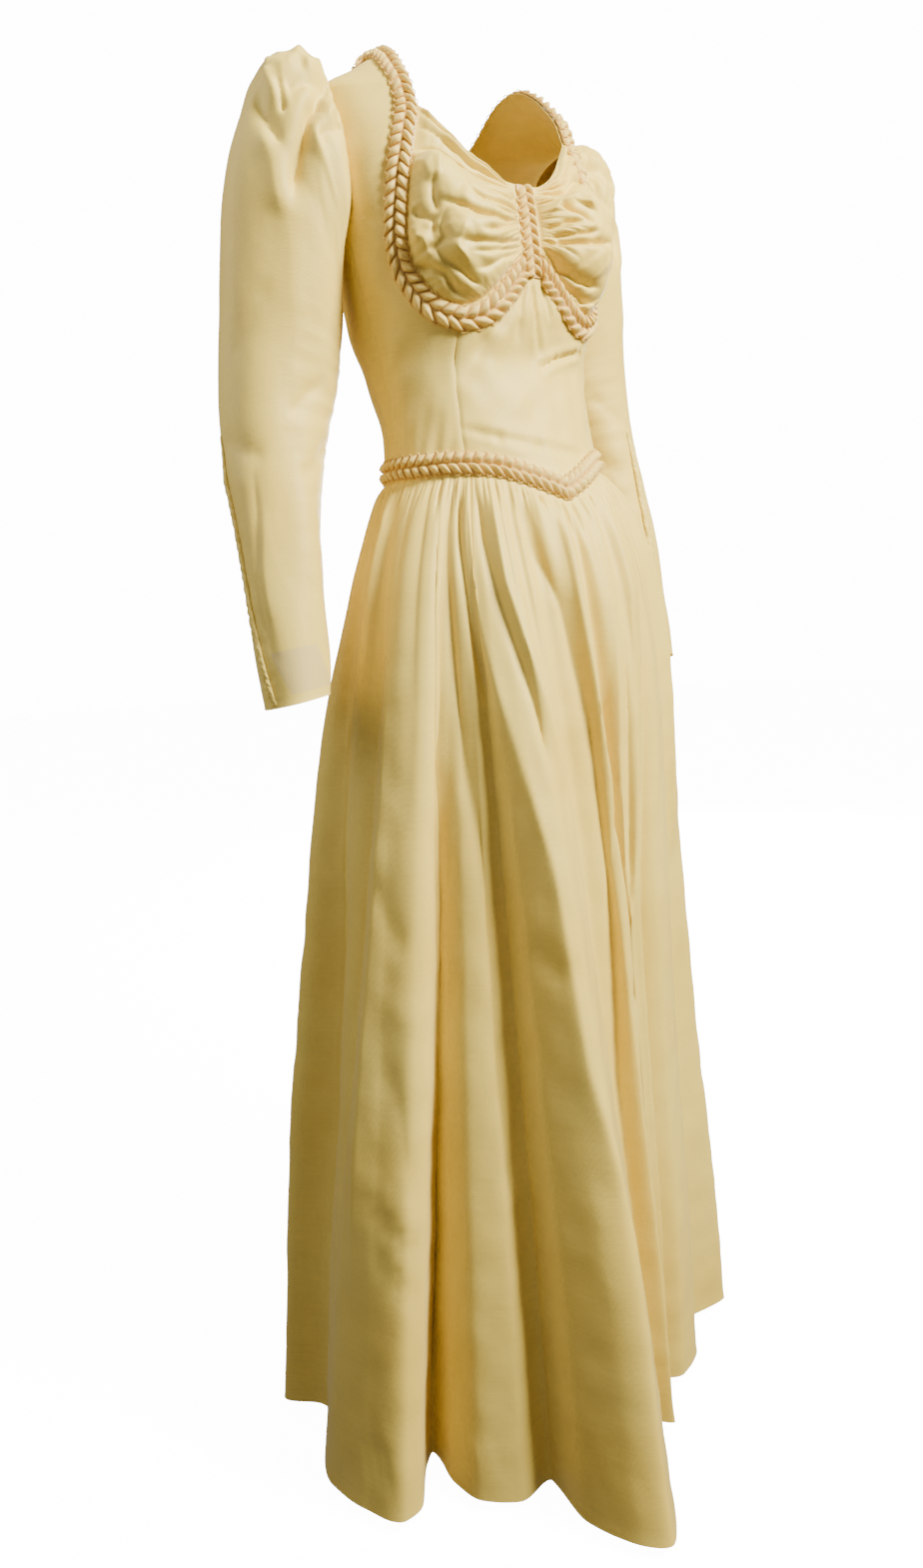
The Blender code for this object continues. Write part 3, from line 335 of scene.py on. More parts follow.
# Skirt folds, through points of the fold table's cells round from the centre
# back and thousandths of the length. Their lower ends fade into the hem's folds.
SKIRT_CELL_AT_WAIST = 0.0056
SKIRT_CELL_AT_HEM = 0.0175
SKIRT_FRONT_CELL = 56
SKIRT_LINES = fold_lines("""
    16.5 30 24  23,100 23.7,300 23.8,600 24,1050
    -8 10 12  27.6,-20 28.4,160 28.6,400 28,800
    -7 10 12  19.6,-20 19.6,200 19,500 18.6,850
    8 18 16  29.5,-20 32.4,47 32,114 29.6,250 28.6,450
    -10.5 20 14  36,-20 35.2,60 35.6,216 34.6,358 33.6,600 31.8,900
    10 10 20  36.6,-10 37.2,155 37.2,305 36.8,454 36.4,602 36,800
    13 26 6  42.6,-20 44,74 44.8,273 44.1,412 43.7,664 43.4,1050
    -8 8 16  44.6,-20 45.4,80 47.6,223 50.4,400 50.4,577 51,726 51,980
    8 16 10  50.2,-20 51.8,101 54.4,216 56.8,369 57,550 58.4,700 57.8,1000
    -7 6 7  47.4,-20 48.6,60 50.4,130 52.2,220
    -6 5 7  53.6,-20 54,60 55.6,130 57.4,200 59,300
    7 7 7  57,-20 56.8,101 58.6,190 60.6,300
    -11 9 10  61,-20 63.2,67 65.2,114 66.2,240 66.2,400 65,600 64.8,950
    8 10 5  68.2,-20 67.2,101 67.4,220 68,340 68.6,600 69.2,950
    6 8 5  72.8,-20 71.8,142 71,262 71,360 71.6,660 72.4,950
    -7.5 5 6  70.4,-20 69.4,100 69.6,240 70,500 70.6,850
    6 7 8  77,-20 76.4,114 73.8,273 71.8,412 66.2,627
    -5.5 5 5  75,-20 73.9,160 71.7,390 66.3,620
    -5 5 5  71,160 68.6,300 66.6,420 65,620
    -6.5 5 8  80,-20 79.4,120 77.6,300 76.4,460 76,700 76.4,920
    -3 6 8  37,700 39.2,715 41.6,745
    -2.6 6 7  38,745 40.2,765 42,800
    2.6 10 7  38.4,685 40.4,700 42.2,720
    -2.6 12 14  36.4,380 38.8,430 40.4,455
    -2.4 12 14  37.6,550 39.6,590 41.2,690
    1.6 14 12  37,480 40,510 42,520
    -2.4 14 14  54,440 56.2,470 58.4,460
    -2.2 14 14  57.2,660 59.4,700 61,780
""", 1, 1000)
# On the sides that the list above leaves out, a fold of its own at each of
# these cells, with seeded lengths and slants
HIDDEN_FOLD_CELLS = (3, 7, 11, 15, 83, 87, 92, 96, 100, 105, 109, 113, 118, 122, 126)
HIDDEN_FOLD_RISE = 0.0085
HIDDEN_FOLD_SEED = 190

# Colours of the cloth and the braid, each light and deep
CREAM = (0.835, 0.645, 0.124)
CREAM_DEEP = (0.780, 0.570, 0.092)
# Painted shade for the band where the cuff facing lies behind the sleeve's cloth
FACING_SHADE_CREAM = (0.640, 0.510, 0.190)
BRAID_CREAM = (0.890, 0.675, 0.175)
BRAID_DEEP = (0.740, 0.490, 0.085)
# Painted shade for the braid's low pockets between its chevrons
BRAID_POCKET_SHADE = (0.640, 0.390, 0.085)


# Curves and forms


def cubic(ys, tangent, cell, width, t):
    """Cubic pieces through values with their tangents, at the share t of each cell."""
    start = (2 * t**3 - 3 * t**2 + 1) * ys[cell]
    leave = (t**3 - 2 * t**2 + t) * width * tangent[cell]
    end = (3 * t**2 - 2 * t**3) * ys[cell + 1]
    arrive = (t**3 - t**2) * width * tangent[cell + 1]
    return start + leave + end + arrive


def hermite(xs, ys, x):
    """Read a smooth curve through the table xs, ys that never overshoots it."""
    xs = np.asarray(xs, float)
    ys = np.asarray(ys, float)
    x = np.asarray(x, float)
    width = np.diff(xs)
    slope = np.diff(ys) / width
    tangent = np.empty_like(ys)
    tangent[0] = slope[0]
    tangent[-1] = slope[-1]
    total = slope[1:] + slope[:-1]
    safe = np.where(np.abs(total) < 1e-12, 1.0, total)
    same_way = slope[1:] * slope[:-1] > 0
    tangent[1:-1] = np.where(same_way, 2 * slope[1:] * slope[:-1] / safe, 0.0)
    cell = np.clip(np.searchsorted(xs, x) - 1, 0, len(width) - 1)
    t = np.clip((x - xs[cell]) / width[cell], 0.0, 1.0)
    return cubic(ys, tangent, cell, width[cell], t)


def smooth(xs, ys, x, ease=0.8):
    """A curve through the table with gentle tangents, for folds."""
    xs = np.asarray(xs, float)
    ys = np.asarray(ys, float)
    tangent = np.gradient(ys, xs, axis=0) * ease
    cell = np.clip(np.searchsorted(xs, x, side="right") - 1, 0, len(xs) - 2)
    width = xs[cell + 1] - xs[cell]
    t = (x - xs[cell]) / width
    shape = (slice(None),) + (None,) * (ys.ndim - 1)
    t, width = t[shape], width[shape]
    return cubic(ys, tangent, cell, width, t)


def column(rows, name):
    """One named column of a table."""
    return np.array([getattr(row, name) for row in rows], float)


def unit(vectors):
    """Vectors at length one."""
    return vectors / np.maximum(np.linalg.norm(vectors, axis=-1, keepdims=True), 1e-12)


def bump(distance, width):
    """A soft hump, 1 at distance 0 and gone by about twice the width."""
    return np.exp(-((distance / width) ** 2))


def ramp(x, low, high):
    """0 below low and 1 above high, with a smooth step between."""
    t = np.clip((x - low) / (high - low), 0.0, 1.0)
    return t * t * (3 - 2 * t)


def span(x, start, full, fade, gone):
    """0 before the start, 1 from full to fade and 0 again once gone."""
    return ramp(x, start, full) * (1 - ramp(x, fade, gone))


def relief(place, shape, turn, *along):
    """The small relief of a place, in a shape that is drawn anew for each turn."""
    height, seed, pitch = RELIEF[place]
    return height * shape(*along, seed + turn, pitch)


def waves(x, seed, pitch, count=7):
    """A seeded irregular wave along x, between about -1 and 1."""
    random = np.random.default_rng(seed)
    total = np.zeros_like(x, float)
    for _ in range(count):
        number = 2 * np.pi / pitch * random.uniform(0.55, 1.6)
        total += np.cos(number * x + random.uniform(0, 2 * np.pi))
    return total / np.sqrt(count)


def noise(x, y, seed, size, count=14):
    """A seeded irregular field over x and y, between about -1 and 1."""
    random = np.random.default_rng(seed)
    total = np.zeros(np.broadcast(x, y).shape)
    for _ in range(count):
        way = random.uniform(0, 2 * np.pi)
        number = 2 * np.pi / size * random.uniform(0.5, 1.6)
        total = total + np.cos(
            number * (x * np.cos(way) + y * np.sin(way)) + random.uniform(0, 2 * np.pi)
        )
    return total / np.sqrt(count)


def puffs(x, seed, pitch):
    """Round tucks along x with sharp valleys between them, from -0.6 to 0.4."""
    warped = x / pitch + 0.35 * waves(x, seed, pitch * 3.1)
    return np.abs(np.sin(np.pi * warped)) ** 0.8 - 0.6


def crease(x, z, rows):
    """The lift that a table of creases gives to points across and up."""
    total = np.zeros(np.broadcast(x, z).shape)
    for row in rows:
        px, pz = x - row.x0, z - row.z0
        dx, dz = row.x1 - row.x0, row.z1 - row.z0
        along = np.clip((px * dx + pz * dz) / (dx * dx + dz * dz), 0, 1)
        away = np.hypot(px - along * dx, pz - along * dz)
        fade = 0.55 + 0.45 * np.sin(np.pi * np.clip(along, 0.05, 0.95))
        total -= row.depth * fade * bump(away, row.width)
        total += row.depth * 0.45 * fade * bump(away - 2.1 * row.width, 1.3 * row.width)
    return total


def facets(x, y, seed, size, count=6):
    """A seeded field of flat facets that meet in sharp creases, between about -1 and 1."""
    random = np.random.default_rng(seed)
    warp_x = x + 0.22 * size * noise(x, y, seed + 500, 1.6 * size)
    warp_y = y + 0.22 * size * noise(x, y, seed + 600, 1.6 * size)
    total = np.zeros(np.broadcast(x, y).shape)
    for _ in range(count):
        way = random.uniform(0, 2 * np.pi)
        pitch = size * random.uniform(0.8, 2.2)
        along = (warp_x * np.cos(way) + warp_y * np.sin(way)) / pitch + random.uniform(0, 1)
        total = total + np.abs(2 * (along % 1.0) - 1) * 2 - 1
    return total / np.sqrt(count)


def folds(x, y, lines, chart):
    """The lift that fold lines give to points in metres, which the chart reads from theirs."""
    total = np.zeros(np.broadcast(x, y).shape)
    for line in lines:
        at_points = np.array([chart(*spot) for spot in line.points])
        run = distances(at_points)
        away = np.full(total.shape, np.inf)
        left = np.zeros(total.shape, bool)
        at = np.zeros(total.shape)
        for k in range(len(at_points) - 1):
            step = at_points[k + 1] - at_points[k]
            px, py = x - at_points[k, 0], y - at_points[k, 1]
            share = np.clip((px * step[0] + py * step[1]) / (step @ step), 0, 1)
            gap = np.hypot(px - share * step[0], py - share * step[1])
            closer = gap < away
            away = np.where(closer, gap, away)
            left = np.where(closer, step[0] * py - step[1] * px > 0, left)
            at = np.where(closer, (run[k] + share * (run[k + 1] - run[k])) / run[-1], at)
        wide = np.where(left, line.left, line.right)
        ends = ramp(np.minimum(at, 1 - at), -0.06, 0.22)
        total += line.rise * ends * np.exp(-((away / wide) ** 1.25))
    return total


def section(height):
    """The trunk form's half width, front, back, centre and squareness at a height."""
    heights, *others = np.array(TRUNK).T
    return [hermite(heights, values, height) for values in others]


def form(angle, height):
    """Points on the trunk form. The angle is 0 in front and grows to the wearer's left."""
    half_width, front, back, centre_y, squareness = section(height)
    across = np.sin(angle)
    ahead = np.cos(angle)
    reach = (np.abs(across) ** squareness + np.abs(ahead) ** squareness) ** (-1 / squareness)
    depth = np.where(ahead > 0, front, back)
    x = half_width * across * reach
    y = centre_y - depth * ahead * reach
    return np.stack([x, y, height + 0 * angle], -1)


def trunk(angle, height, lift):
    """Points at a distance, the lift, off the trunk form."""
    angle, height, lift = np.broadcast_arrays(angle, height, lift)
    step = 0.002
    around = form(angle + step, height) - form(angle - step, height)
    up = form(angle, height + step / 4) - form(angle, height - step / 4)
    return form(angle, height) + unit(np.cross(around, up)) * lift[..., None]


def angle_across(across, height):
    """The angle in front where the form is this far from the centre."""
    half_width, _, _, _, squareness = section(height)
    share = np.clip(np.abs(across) / half_width, 1e-6, 0.99999) ** squareness
    return np.arctan((share / (1 - share)) ** (1 / squareness))


def angle_at(points):
    """The angles round the form at which points near it lie."""
    half_width, front, back, centre_y, _ = section(points[..., 2])
    ahead = centre_y - points[..., 1]
    depth = np.where(ahead > 0, front, back)
    return np.arctan2(points[..., 0] / half_width, ahead / depth)


def waist_height(angle):
    """The height of the waist seam round the form."""
    degrees = np.abs((np.degrees(angle) + 180) % 360 - 180)
    dip = hermite(column(WAIST_POINT, "degrees"), column(WAIST_POINT, "depth"), degrees)
    return WAIST_HEIGHT - dip


def distances(points):
    """The distance run along a line to each of its points, by its first three columns."""
    return np.r_[0, np.cumsum(np.linalg.norm(np.diff(points[:, :3], axis=0), axis=1))]


def evenly(points, cells):
    """Points at even distances on a smooth curve through the given ones."""
    points = np.asarray(points, float)
    run = distances(points)
    fine = np.linspace(0, run[-1], 40 * len(points))
    curve = np.stack([hermite(run, points[:, k], fine) for k in range(points.shape[1])], -1)
    along = distances(curve)
    marks = np.linspace(0, along[-1], cells + 1)
    return np.stack([np.interp(marks, along, curve[:, k]) for k in range(points.shape[1])], -1)


def seam(spots, cells):
    """A seam in front as rows of angle and height, evenly spaced."""
    flat = evenly([(spot.across, spot.height) for spot in spots], cells)
    return np.stack([angle_across(flat[:, 0], flat[:, 1]), flat[:, 1]], -1)


def climb(foot, head, cells):
    """Heights up from the waist seam, the first cell a band that the braid covers."""
    band = np.linspace(foot, foot + WAIST_BAND, FINE + 1)[:-1]
    return np.r_[band, np.linspace(foot + WAIST_BAND, head, (cells - 1) * FINE + 1)]


def princess_seam():
    """The seam from the waist up to the cup."""
    waist_angle = angle_across(PRINCESS_AT_WAIST, WAIST_HEIGHT)
    foot = float(waist_height(waist_angle))
    heights = climb(foot, CUP_SIDE[0].height, PRINCESS_CELLS)
    across = np.interp(heights, [foot, CUP_SIDE[0].height], [PRINCESS_AT_WAIST, PRINCESS_AT_CUP])
    return np.stack([angle_across(across, heights), heights], -1)


def armhole(share, ahead):
    """The armhole's angle and height from the underarm, 0, to the shoulder tip, 1."""
    turn = np.pi * np.asarray(share, float)
    middle = (UNDERARM_HEIGHT + SHOULDER_TIP_HEIGHT) / 2
    height = middle - (SHOULDER_TIP_HEIGHT - UNDERARM_HEIGHT) / 2 * np.cos(turn)
    _, front, back, _, squareness = section(height)
    depth = front if ahead else back
    cut = ARMHOLE_FRONT_DEPTH if ahead else ARMHOLE_BACK_DEPTH
    side = np.clip(cut * np.sin(turn) / depth, 1e-6, 1) ** squareness
    swing = np.pi / 2 - np.arctan((1 / side - 1) ** (1 / squareness))
    return np.stack([np.pi / 2 - swing if ahead else np.pi / 2 + swing, height], -1)


def side_seam():
    """The side seam from the waist to the underarm."""
    heights = climb(WAIST_HEIGHT, UNDERARM_HEIGHT, SIDE_SEAM_CELLS)
    return np.stack([np.full(len(heights), np.pi / 2), heights], -1)


def join(*curves):
    """Curves end to end, each shared point once."""
    return np.concatenate([curves[0]] + [curve[1:] for curve in curves[1:]])


def ruled(inner, outer, cells):
    """Rows of angle and height between two edges that have the same count of points."""
    share = np.linspace(0, 1, cells + 1)[None, :, None]
    return inner[:, None] * (1 - share) + outer[:, None] * share


def coons(bottom, top, start, end, rise=None):
    """A patch between four edges: bottom and top run along it, start and end up it."""
    u = np.linspace(0, 1, len(bottom))[None, :, None]
    v = np.linspace(0, 1, len(start))[:, None, None] if rise is None else rise[:, None, None]
    rows = bottom[None] * (1 - v) + top[None] * v
    lines = start[:, None] * (1 - u) + end[:, None] * u
    low = bottom[0] * (1 - u) + bottom[-1] * u
    high = top[0] * (1 - u) + top[-1] * u
    return rows + lines - (low * (1 - v) + high * v)


def settle(points):
    """The slight sideways lean of the waist, as the dress hangs."""
    heights = [HEM_HEIGHT, -0.80, -0.45, -0.15, -0.02, 0.10]
    shares = [0.0, 0.5, 1.0, 0.9, 0.0, 0.0]
    moved = points.copy()
    reach = LEAN_REACH * np.tanh(points[..., 0] / LEAN_REACH)
    moved[..., 2] += LEAN * reach * np.interp(points[..., 2], heights, shares)
    return moved


# Meshes


def normals(grid, closed=False):
    """Outward directions at the points of a grid whose columns run to the right."""
    if closed:
        wide = np.concatenate([grid[:, -1:], grid, grid[:, :1]], 1)
        along = (wide[:, 2:] - wide[:, :-2]) / 2
    else:
        along = np.gradient(grid, axis=1)
    up = np.gradient(grid, axis=0)
    return unit(np.cross(along, up))


def runs(grid):
    """The distances along the rows and up the columns of a grid, its weave directions."""
    across = np.linalg.norm(np.diff(grid, axis=1), axis=-1)
    across = np.concatenate([np.zeros((grid.shape[0], 1)), np.cumsum(across, 1)], 1)
    upward = np.linalg.norm(np.diff(grid, axis=0), axis=-1)
    upward = np.concatenate([np.zeros((1, grid.shape[1])), np.cumsum(upward, 0)], 0)
    return across, upward


def quads(rows, columns, closed):
    """The faces of a grid of points, whose columns may close into a ring."""
    last = columns if closed else columns - 1
    i, j = np.meshgrid(np.arange(rows - 1), np.arange(last), indexing="ij")
    near, after = i * columns + j, i * columns + (j + 1) % columns
    return np.stack([near, after, after + columns, near + columns], -1).reshape(-1, 4)


def cloth(
    name, node, outside, material, closed=False, inside=None, raised=None
):
    """A piece of cloth as a closed thin wall, with its weave directions as UVs."""
    outside = settle(outside)
    if inside is None:
        inside = outside - normals(outside, closed) * CLOTH
    else:
        inside = settle(inside)
    rows, columns = outside.shape[:2]
    half = rows * columns
    points = np.concatenate([outside.reshape(-1, 3), inside.reshape(-1, 3)])
    front = quads(rows, columns, closed)
    rims = []
    last = columns if closed else columns - 1
    top = (rows - 1) * columns
    for near in range(last):
        after = (near + 1) % columns
        rims.append((near, after))
        rims.append((top + after, top + near))
    if not closed:
        for low in range(0, top, columns):
            rims.append((low + columns, low))
            rims.append((low + last, low + columns + last))
    rims = np.array(rims)
    rim = np.stack([rims[:, 1], rims[:, 0], rims[:, 0] + half, rims[:, 1] + half], -1)
    faces = np.concatenate([front, front[:, ::-1] + half, rim])
    across, upward = runs(outside)
    seats = np.stack([across, upward], -1).reshape(-1, 2)
    seats = np.concatenate([seats, seats])
    if raised is not None:
        raised = np.concatenate([raised.ravel(), raised.ravel()])
    piece = solid(name, points, faces, material, seats, raised)
    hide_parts(node)
    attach(piece, "root")
    return piece


def solid(name, points, faces, material, seats=None, raised=None):
    """An object with one material from points and faces.

    Seats are its weave directions, and raised says which points stand out, 1, and which lie low, 0; the
    braid's material paints shade into the low points by it.
    """
    mesh = bpy.data.meshes.new(name)
    mesh.from_pydata(points.tolist(), [], faces.tolist() if hasattr(faces, "tolist") else faces)
    if seats is not None:
        layer = mesh.uv_layers.new(name="weave")
        corners = np.empty(len(mesh.loops), np.int32)
        mesh.loops.foreach_get("vertex_index", corners)
        layer.data.foreach_set("uv", seats[corners].astype(np.float32).ravel())
    if raised is not None:
        layer = mesh.attributes.new("raised", "FLOAT", "POINT")
        layer.data.foreach_set("value", np.asarray(raised, np.float32))
    mesh.update()
    mesh.shade_smooth()
    mesh.set_sharp_from_angle(angle=np.radians(70))
    mesh.materials.append(material)
    piece = bpy.data.objects.new(name, mesh)
    bpy.context.scene.collection.objects.link(piece)
    return piece


def to_side(grid, side):
    """A grid of angle and height turned to one side, its columns running to the left arm."""
    turned = grid * np.array([side, 1.0])
    return turned[:, ::-1] if side == RIGHT else turned


def lifted(grid, lift, side):
    """Points at a lift off the form, for a grid of the left side turned to one side."""
    grid = to_side(grid, side)
    return trunk(grid[..., 0], grid[..., 1], lift[:, ::-1] if side == RIGHT else lift)


def measured(grid):
    """The distances across and up a panel of angles and heights."""
    return runs(trunk(grid[..., 0], grid[..., 1], 0.0))


def edge_dip(across, upward, high=False):
    """The dip of a panel into the seams at its sides and, if high, at its top."""
    total = bump(across, SEAM_DIP_WIDTH) + bump(across[:, -1:] - across, SEAM_DIP_WIDTH)
    if high:
        total += bump(upward[-1:] - upward, SEAM_DIP_WIDTH)
    return -np.minimum(total, 1.0) * SEAM_DIP


def inner_share(across):
    """1 inside a panel, fading to 0 at its sides."""
    return ramp(across, 0.0, EDGE_FADE) * ramp(across[:, -1:] - across, 0.0, EDGE_FADE)


def mirrored(edge):
    """An edge of angles and heights on the other side of the centre."""
    return edge * np.array([-1.0, 1.0])


# Materials


def put(socket, value):
    """Set a socket to a value, or join another socket to it."""
    if isinstance(value, bpy.types.NodeSocket):
        socket.id_data.links.new(value, socket)
    else:
        socket.default_value = value


def add_node(tree, kind, settings=(), **sockets):
    """A shader node with its settings and its sockets, in whose names _ is a space."""
    made = tree.nodes.new("ShaderNode" + kind)
    for name, setting in dict(settings).items():
        setattr(made, name, setting)
    for name, value in sockets.items():
        put(made.inputs[name.replace("_", " ")], value)
    return made


def mixed(tree, share, one, other, way="MIX"):
    """Two colours mixed by a share."""
    settings = {"data_type": "RGBA", "blend_type": way}
    return add_node(tree, "Mix", settings, Factor=share, A=one, B=other).outputs["Result"]


def product(tree, one, other):
    """A socket times a value or another socket."""
    made = add_node(tree, "Math", {"operation": "MULTIPLY"})
    put(made.inputs[0], one)
    put(made.inputs[1], other)
    return made.outputs["Value"]


def step_up(tree, value, low, high):
    """A smooth step from 0 to 1 between two values."""
    smoothly = {"interpolation_type": "SMOOTHSTEP"}
    made = add_node(tree, "MapRange", smoothly, From_Min=low, From_Max=high, Value=value)
    return made.outputs["Result"]


def principled(name, looks):
    """A new material whose shader has these values."""
    material = bpy.data.materials.new(name)
    material.use_nodes = True
    shader = material.node_tree.nodes["Principled BSDF"]
    for socket, value in looks.items():
        shader.inputs[socket].default_value = value
    return material


def fabric(name, light, deep, roughness=0.52, rib=0.0011, sheen=0.26, band=None, pocket_shade=None):
    """Ribbed cream cloth with slubs, fine creasing, uneven colour and a soft sheen, and, when asked, a
    band of painted shade and painted shade in the braid's low pockets.
    """
    looks = {
        "Roughness": roughness,
        "Metallic": 0.0,
        "Specular IOR Level": 0.36,
        "Sheen Weight": sheen,
        "Sheen Roughness": 0.38,
        "Sheen Tint": (1.0, 0.93, 0.76, 1.0),
    }
    material = principled(name, looks)
    tree = material.node_tree
    place = add_node(tree, "TexCoord").outputs
    flat, body = place["UV"], place["Object"]
    patches = add_node(tree, "TexNoise", Scale=5.5, Detail=4.0, Roughness=0.55, Vector=body)
    tone = add_node(tree, "ValToRGB", Fac=patches.outputs["Fac"])
    for stop, at, colour in zip(tone.color_ramp.elements, (0.30, 0.62), (deep, light)):
        stop.position = at
        stop.color = (*colour, 1.0)

    threads = add_node(tree, "Mapping", Scale=(26.0, 900.0, 1.0), Vector=flat).outputs["Vector"]
    slubs = add_node(tree, "TexNoise", Scale=1.0, Detail=3.0, Vector=threads).outputs["Fac"]
    limits = {"From_Min": 0.30, "From_Max": 0.72, "To_Min": 0.955, "To_Max": 1.03}
    slub_tone = add_node(tree, "MapRange", Value=slubs, **limits).outputs["Result"]
    colour = mixed(tree, 1.0, tone.outputs["Color"], slub_tone, "MULTIPLY")
    # Painted shade: a darker band over the cuff facing
    if band is not None:
        colour = facing_shade_band(tree, flat, colour, band)
    # Painted shade: the colour darkens towards the pocket shade where the raised value is low, between
    # the braid's tucks
    if pocket_shade is not None:
        raised = add_node(tree, "Attribute", {"attribute_name": "raised"}).outputs["Fac"]
        colour = mixed(tree, step_up(tree, raised, 0.12, 0.62), (*pocket_shade, 1.0), colour)

    across = {"wave_type": "BANDS", "bands_direction": "Y"}
    pitch = 2 * np.pi / (20 * rib)
    ribs = add_node(tree, "TexWave", across, Scale=pitch, Distortion=0.6, Vector=flat)
    crumpled = {"Scale": 38.0, "Detail": 5.0, "Roughness": 0.6, "Distortion": 0.8}
    creases = add_node(tree, "TexNoise", Vector=body, **crumpled).outputs["Fac"]
    relief = (
        (ribs.outputs["Fac"], 0.35, 0.00018),
        (slubs, 0.40, 0.00025),
        (creases, 0.40, 0.0009),
    )
    below = {}
    for height, strength, depth in relief:
        made = add_node(tree, "Bump", Strength=strength, Distance=depth, Height=height, **below)
        below = {"Normal": made.outputs["Normal"]}
    shader = tree.nodes["Principled BSDF"]
    put(shader.inputs["Base Color"], colour)
    put(shader.inputs["Normal"], below["Normal"])
    return material


# A band of painted shade: where it starts and ends up and along the cloth, its colour and its strength
Band = namedtuple("Band", "low high left right colour strength")
BAND_EDGE = 0.0012


def facing_shade_band(tree, flat, colour, band):
    """A patch of painted shade at distances up and along the cloth, where a facing lies behind it."""
    split = add_node(tree, "SeparateXYZ", Vector=flat).outputs
    inside = None
    for axis, at, edge in (
        ("Y", band.low, BAND_EDGE),
        ("Y", band.high, -BAND_EDGE),
        ("X", band.left, BAND_EDGE),
        ("X", band.right, -BAND_EDGE),
    ):
        share = step_up(tree, split[axis], at - edge, at + edge)
        inside = share if inside is None else product(tree, inside, share)
    return mixed(tree, product(tree, inside, band.strength), colour, (*band.colour, 1.0))


gown_cloth = fabric("gown_faille", CREAM, CREAM_DEEP)
cup_cloth = fabric("cup_faille", CREAM, CREAM_DEEP, roughness=0.48)
FACING_SPAN = {RIGHT: (0.130, 0.183), LEFT: (0.005, 0.058)}
# Each sleeve has a band of painted shade over its cuff facing
sleeve_cloths = {
    side: fabric(
        f"sleeve_faille_{tag}",
        CREAM,
        CREAM_DEEP,
        band=Band(0.010, 0.053, *FACING_SPAN[side], FACING_SHADE_CREAM, 0.75),
    )
    for side, tag in ((RIGHT, "R"), (LEFT, "L"))
}
# The braid's ribbon, with painted shade in its pockets
braid_cloth = fabric(
    "braid_ribbon", BRAID_CREAM, BRAID_DEEP, 0.45, rib=0.0007, sheen=0.2, pocket_shade=BRAID_POCKET_SHADE
)


# Bodice


def waist_fitted(grid):
    """Bend the lowest rows of a grid onto the waist seam."""
    grid = grid.copy()
    share = np.linspace(0, 1, len(grid))[:, None]
    miss = waist_height(grid[0, :, 0]) - grid[0, :, 1]
    grid[..., 1] += miss[None] * np.clip(1 - 3 * share, 0, 1)
    return grid


def back_neck(cells):
    """The back neckline from the shoulder seam to the centre back."""
    curve = mirrored(seam(BACK_NECK, cells)) + np.array([np.pi, 0.0])
    curve[0, 0] = np.pi / 2
    curve[-1, 0] = np.pi
    return curve


def side_front(side, tag):
    """The front panel at the side, from the waist to the shoulder seam."""
    inner = join(
        princess_seam(),
        seam(CUP_SIDE, CUP_SIDE_CELLS * FINE),
        seam(DRAPE_END, DRAPE_END_CELLS * FINE),
        seam(NECK_EDGE, NECK_EDGE_CELLS * FINE),
    )
    inner[-1, 0] = np.pi / 2
    outer = join(side_seam(), armhole(np.linspace(0, 1, ARMHOLE_CELLS * FINE + 1), True))
    grid = waist_fitted(ruled(inner, outer, PANEL_CELLS * FINE))
    height = grid[..., 1]
    across, upward = measured(grid)
    lift = edge_dip(across, upward, high=True)
    inside = inner_share(across) * ramp(upward[-1:] - upward, 0.0, EDGE_FADE)
    lift += relief("side swell", noise, side, across, height) * inside
    strain = np.abs(height + 0.150 - 0.5 * (across - 0.03))
    lift -= STRAIN_DEPTH * bump(strain, 0.006) * ramp(across, 0.01, 0.04)
    near_waist = bump(height - WAIST_HEIGHT, 0.045)
    lift += relief("side waist", waves, side, across + 0.3 * height) * near_waist * inside
    points = lifted(grid, lift, side)
    return cloth(f"side_front_{tag}", f"bodice_side_front_{tag}", points, gown_cloth)


def bodice_back(side, tag):
    """Half of the back, with the centre back seam."""
    outer = join(side_seam(), armhole(np.linspace(0, 1, ARMHOLE_CELLS * FINE + 1), False))
    cells = (len(outer) - 1) // FINE - BACK_NECK_CELLS
    heights = climb(WAIST_HEIGHT, BACK_NECK_HEIGHT, cells)
    centre = np.stack([np.full(len(heights), np.pi), heights], -1)
    inner = join(centre, back_neck(BACK_NECK_CELLS * FINE)[::-1])
    grid = ruled(inner, outer, PANEL_CELLS * FINE)[:, ::-1]
    height = grid[..., 1]
    across, upward = measured(grid)
    lift = edge_dip(across, upward, high=True)
    inside = inner_share(across) * ramp(upward[-1:] - upward, 0.0, EDGE_FADE)
    lift += relief("back swell", noise, side, across, height) * inside
    near_waist = bump(height - WAIST_HEIGHT, 0.05)
    lift += relief("back waist", waves, side, across) * near_waist * inside
    return cloth(f"back_{tag}", f"bodice_back_{tag}", lifted(grid, lift, side), gown_cloth)


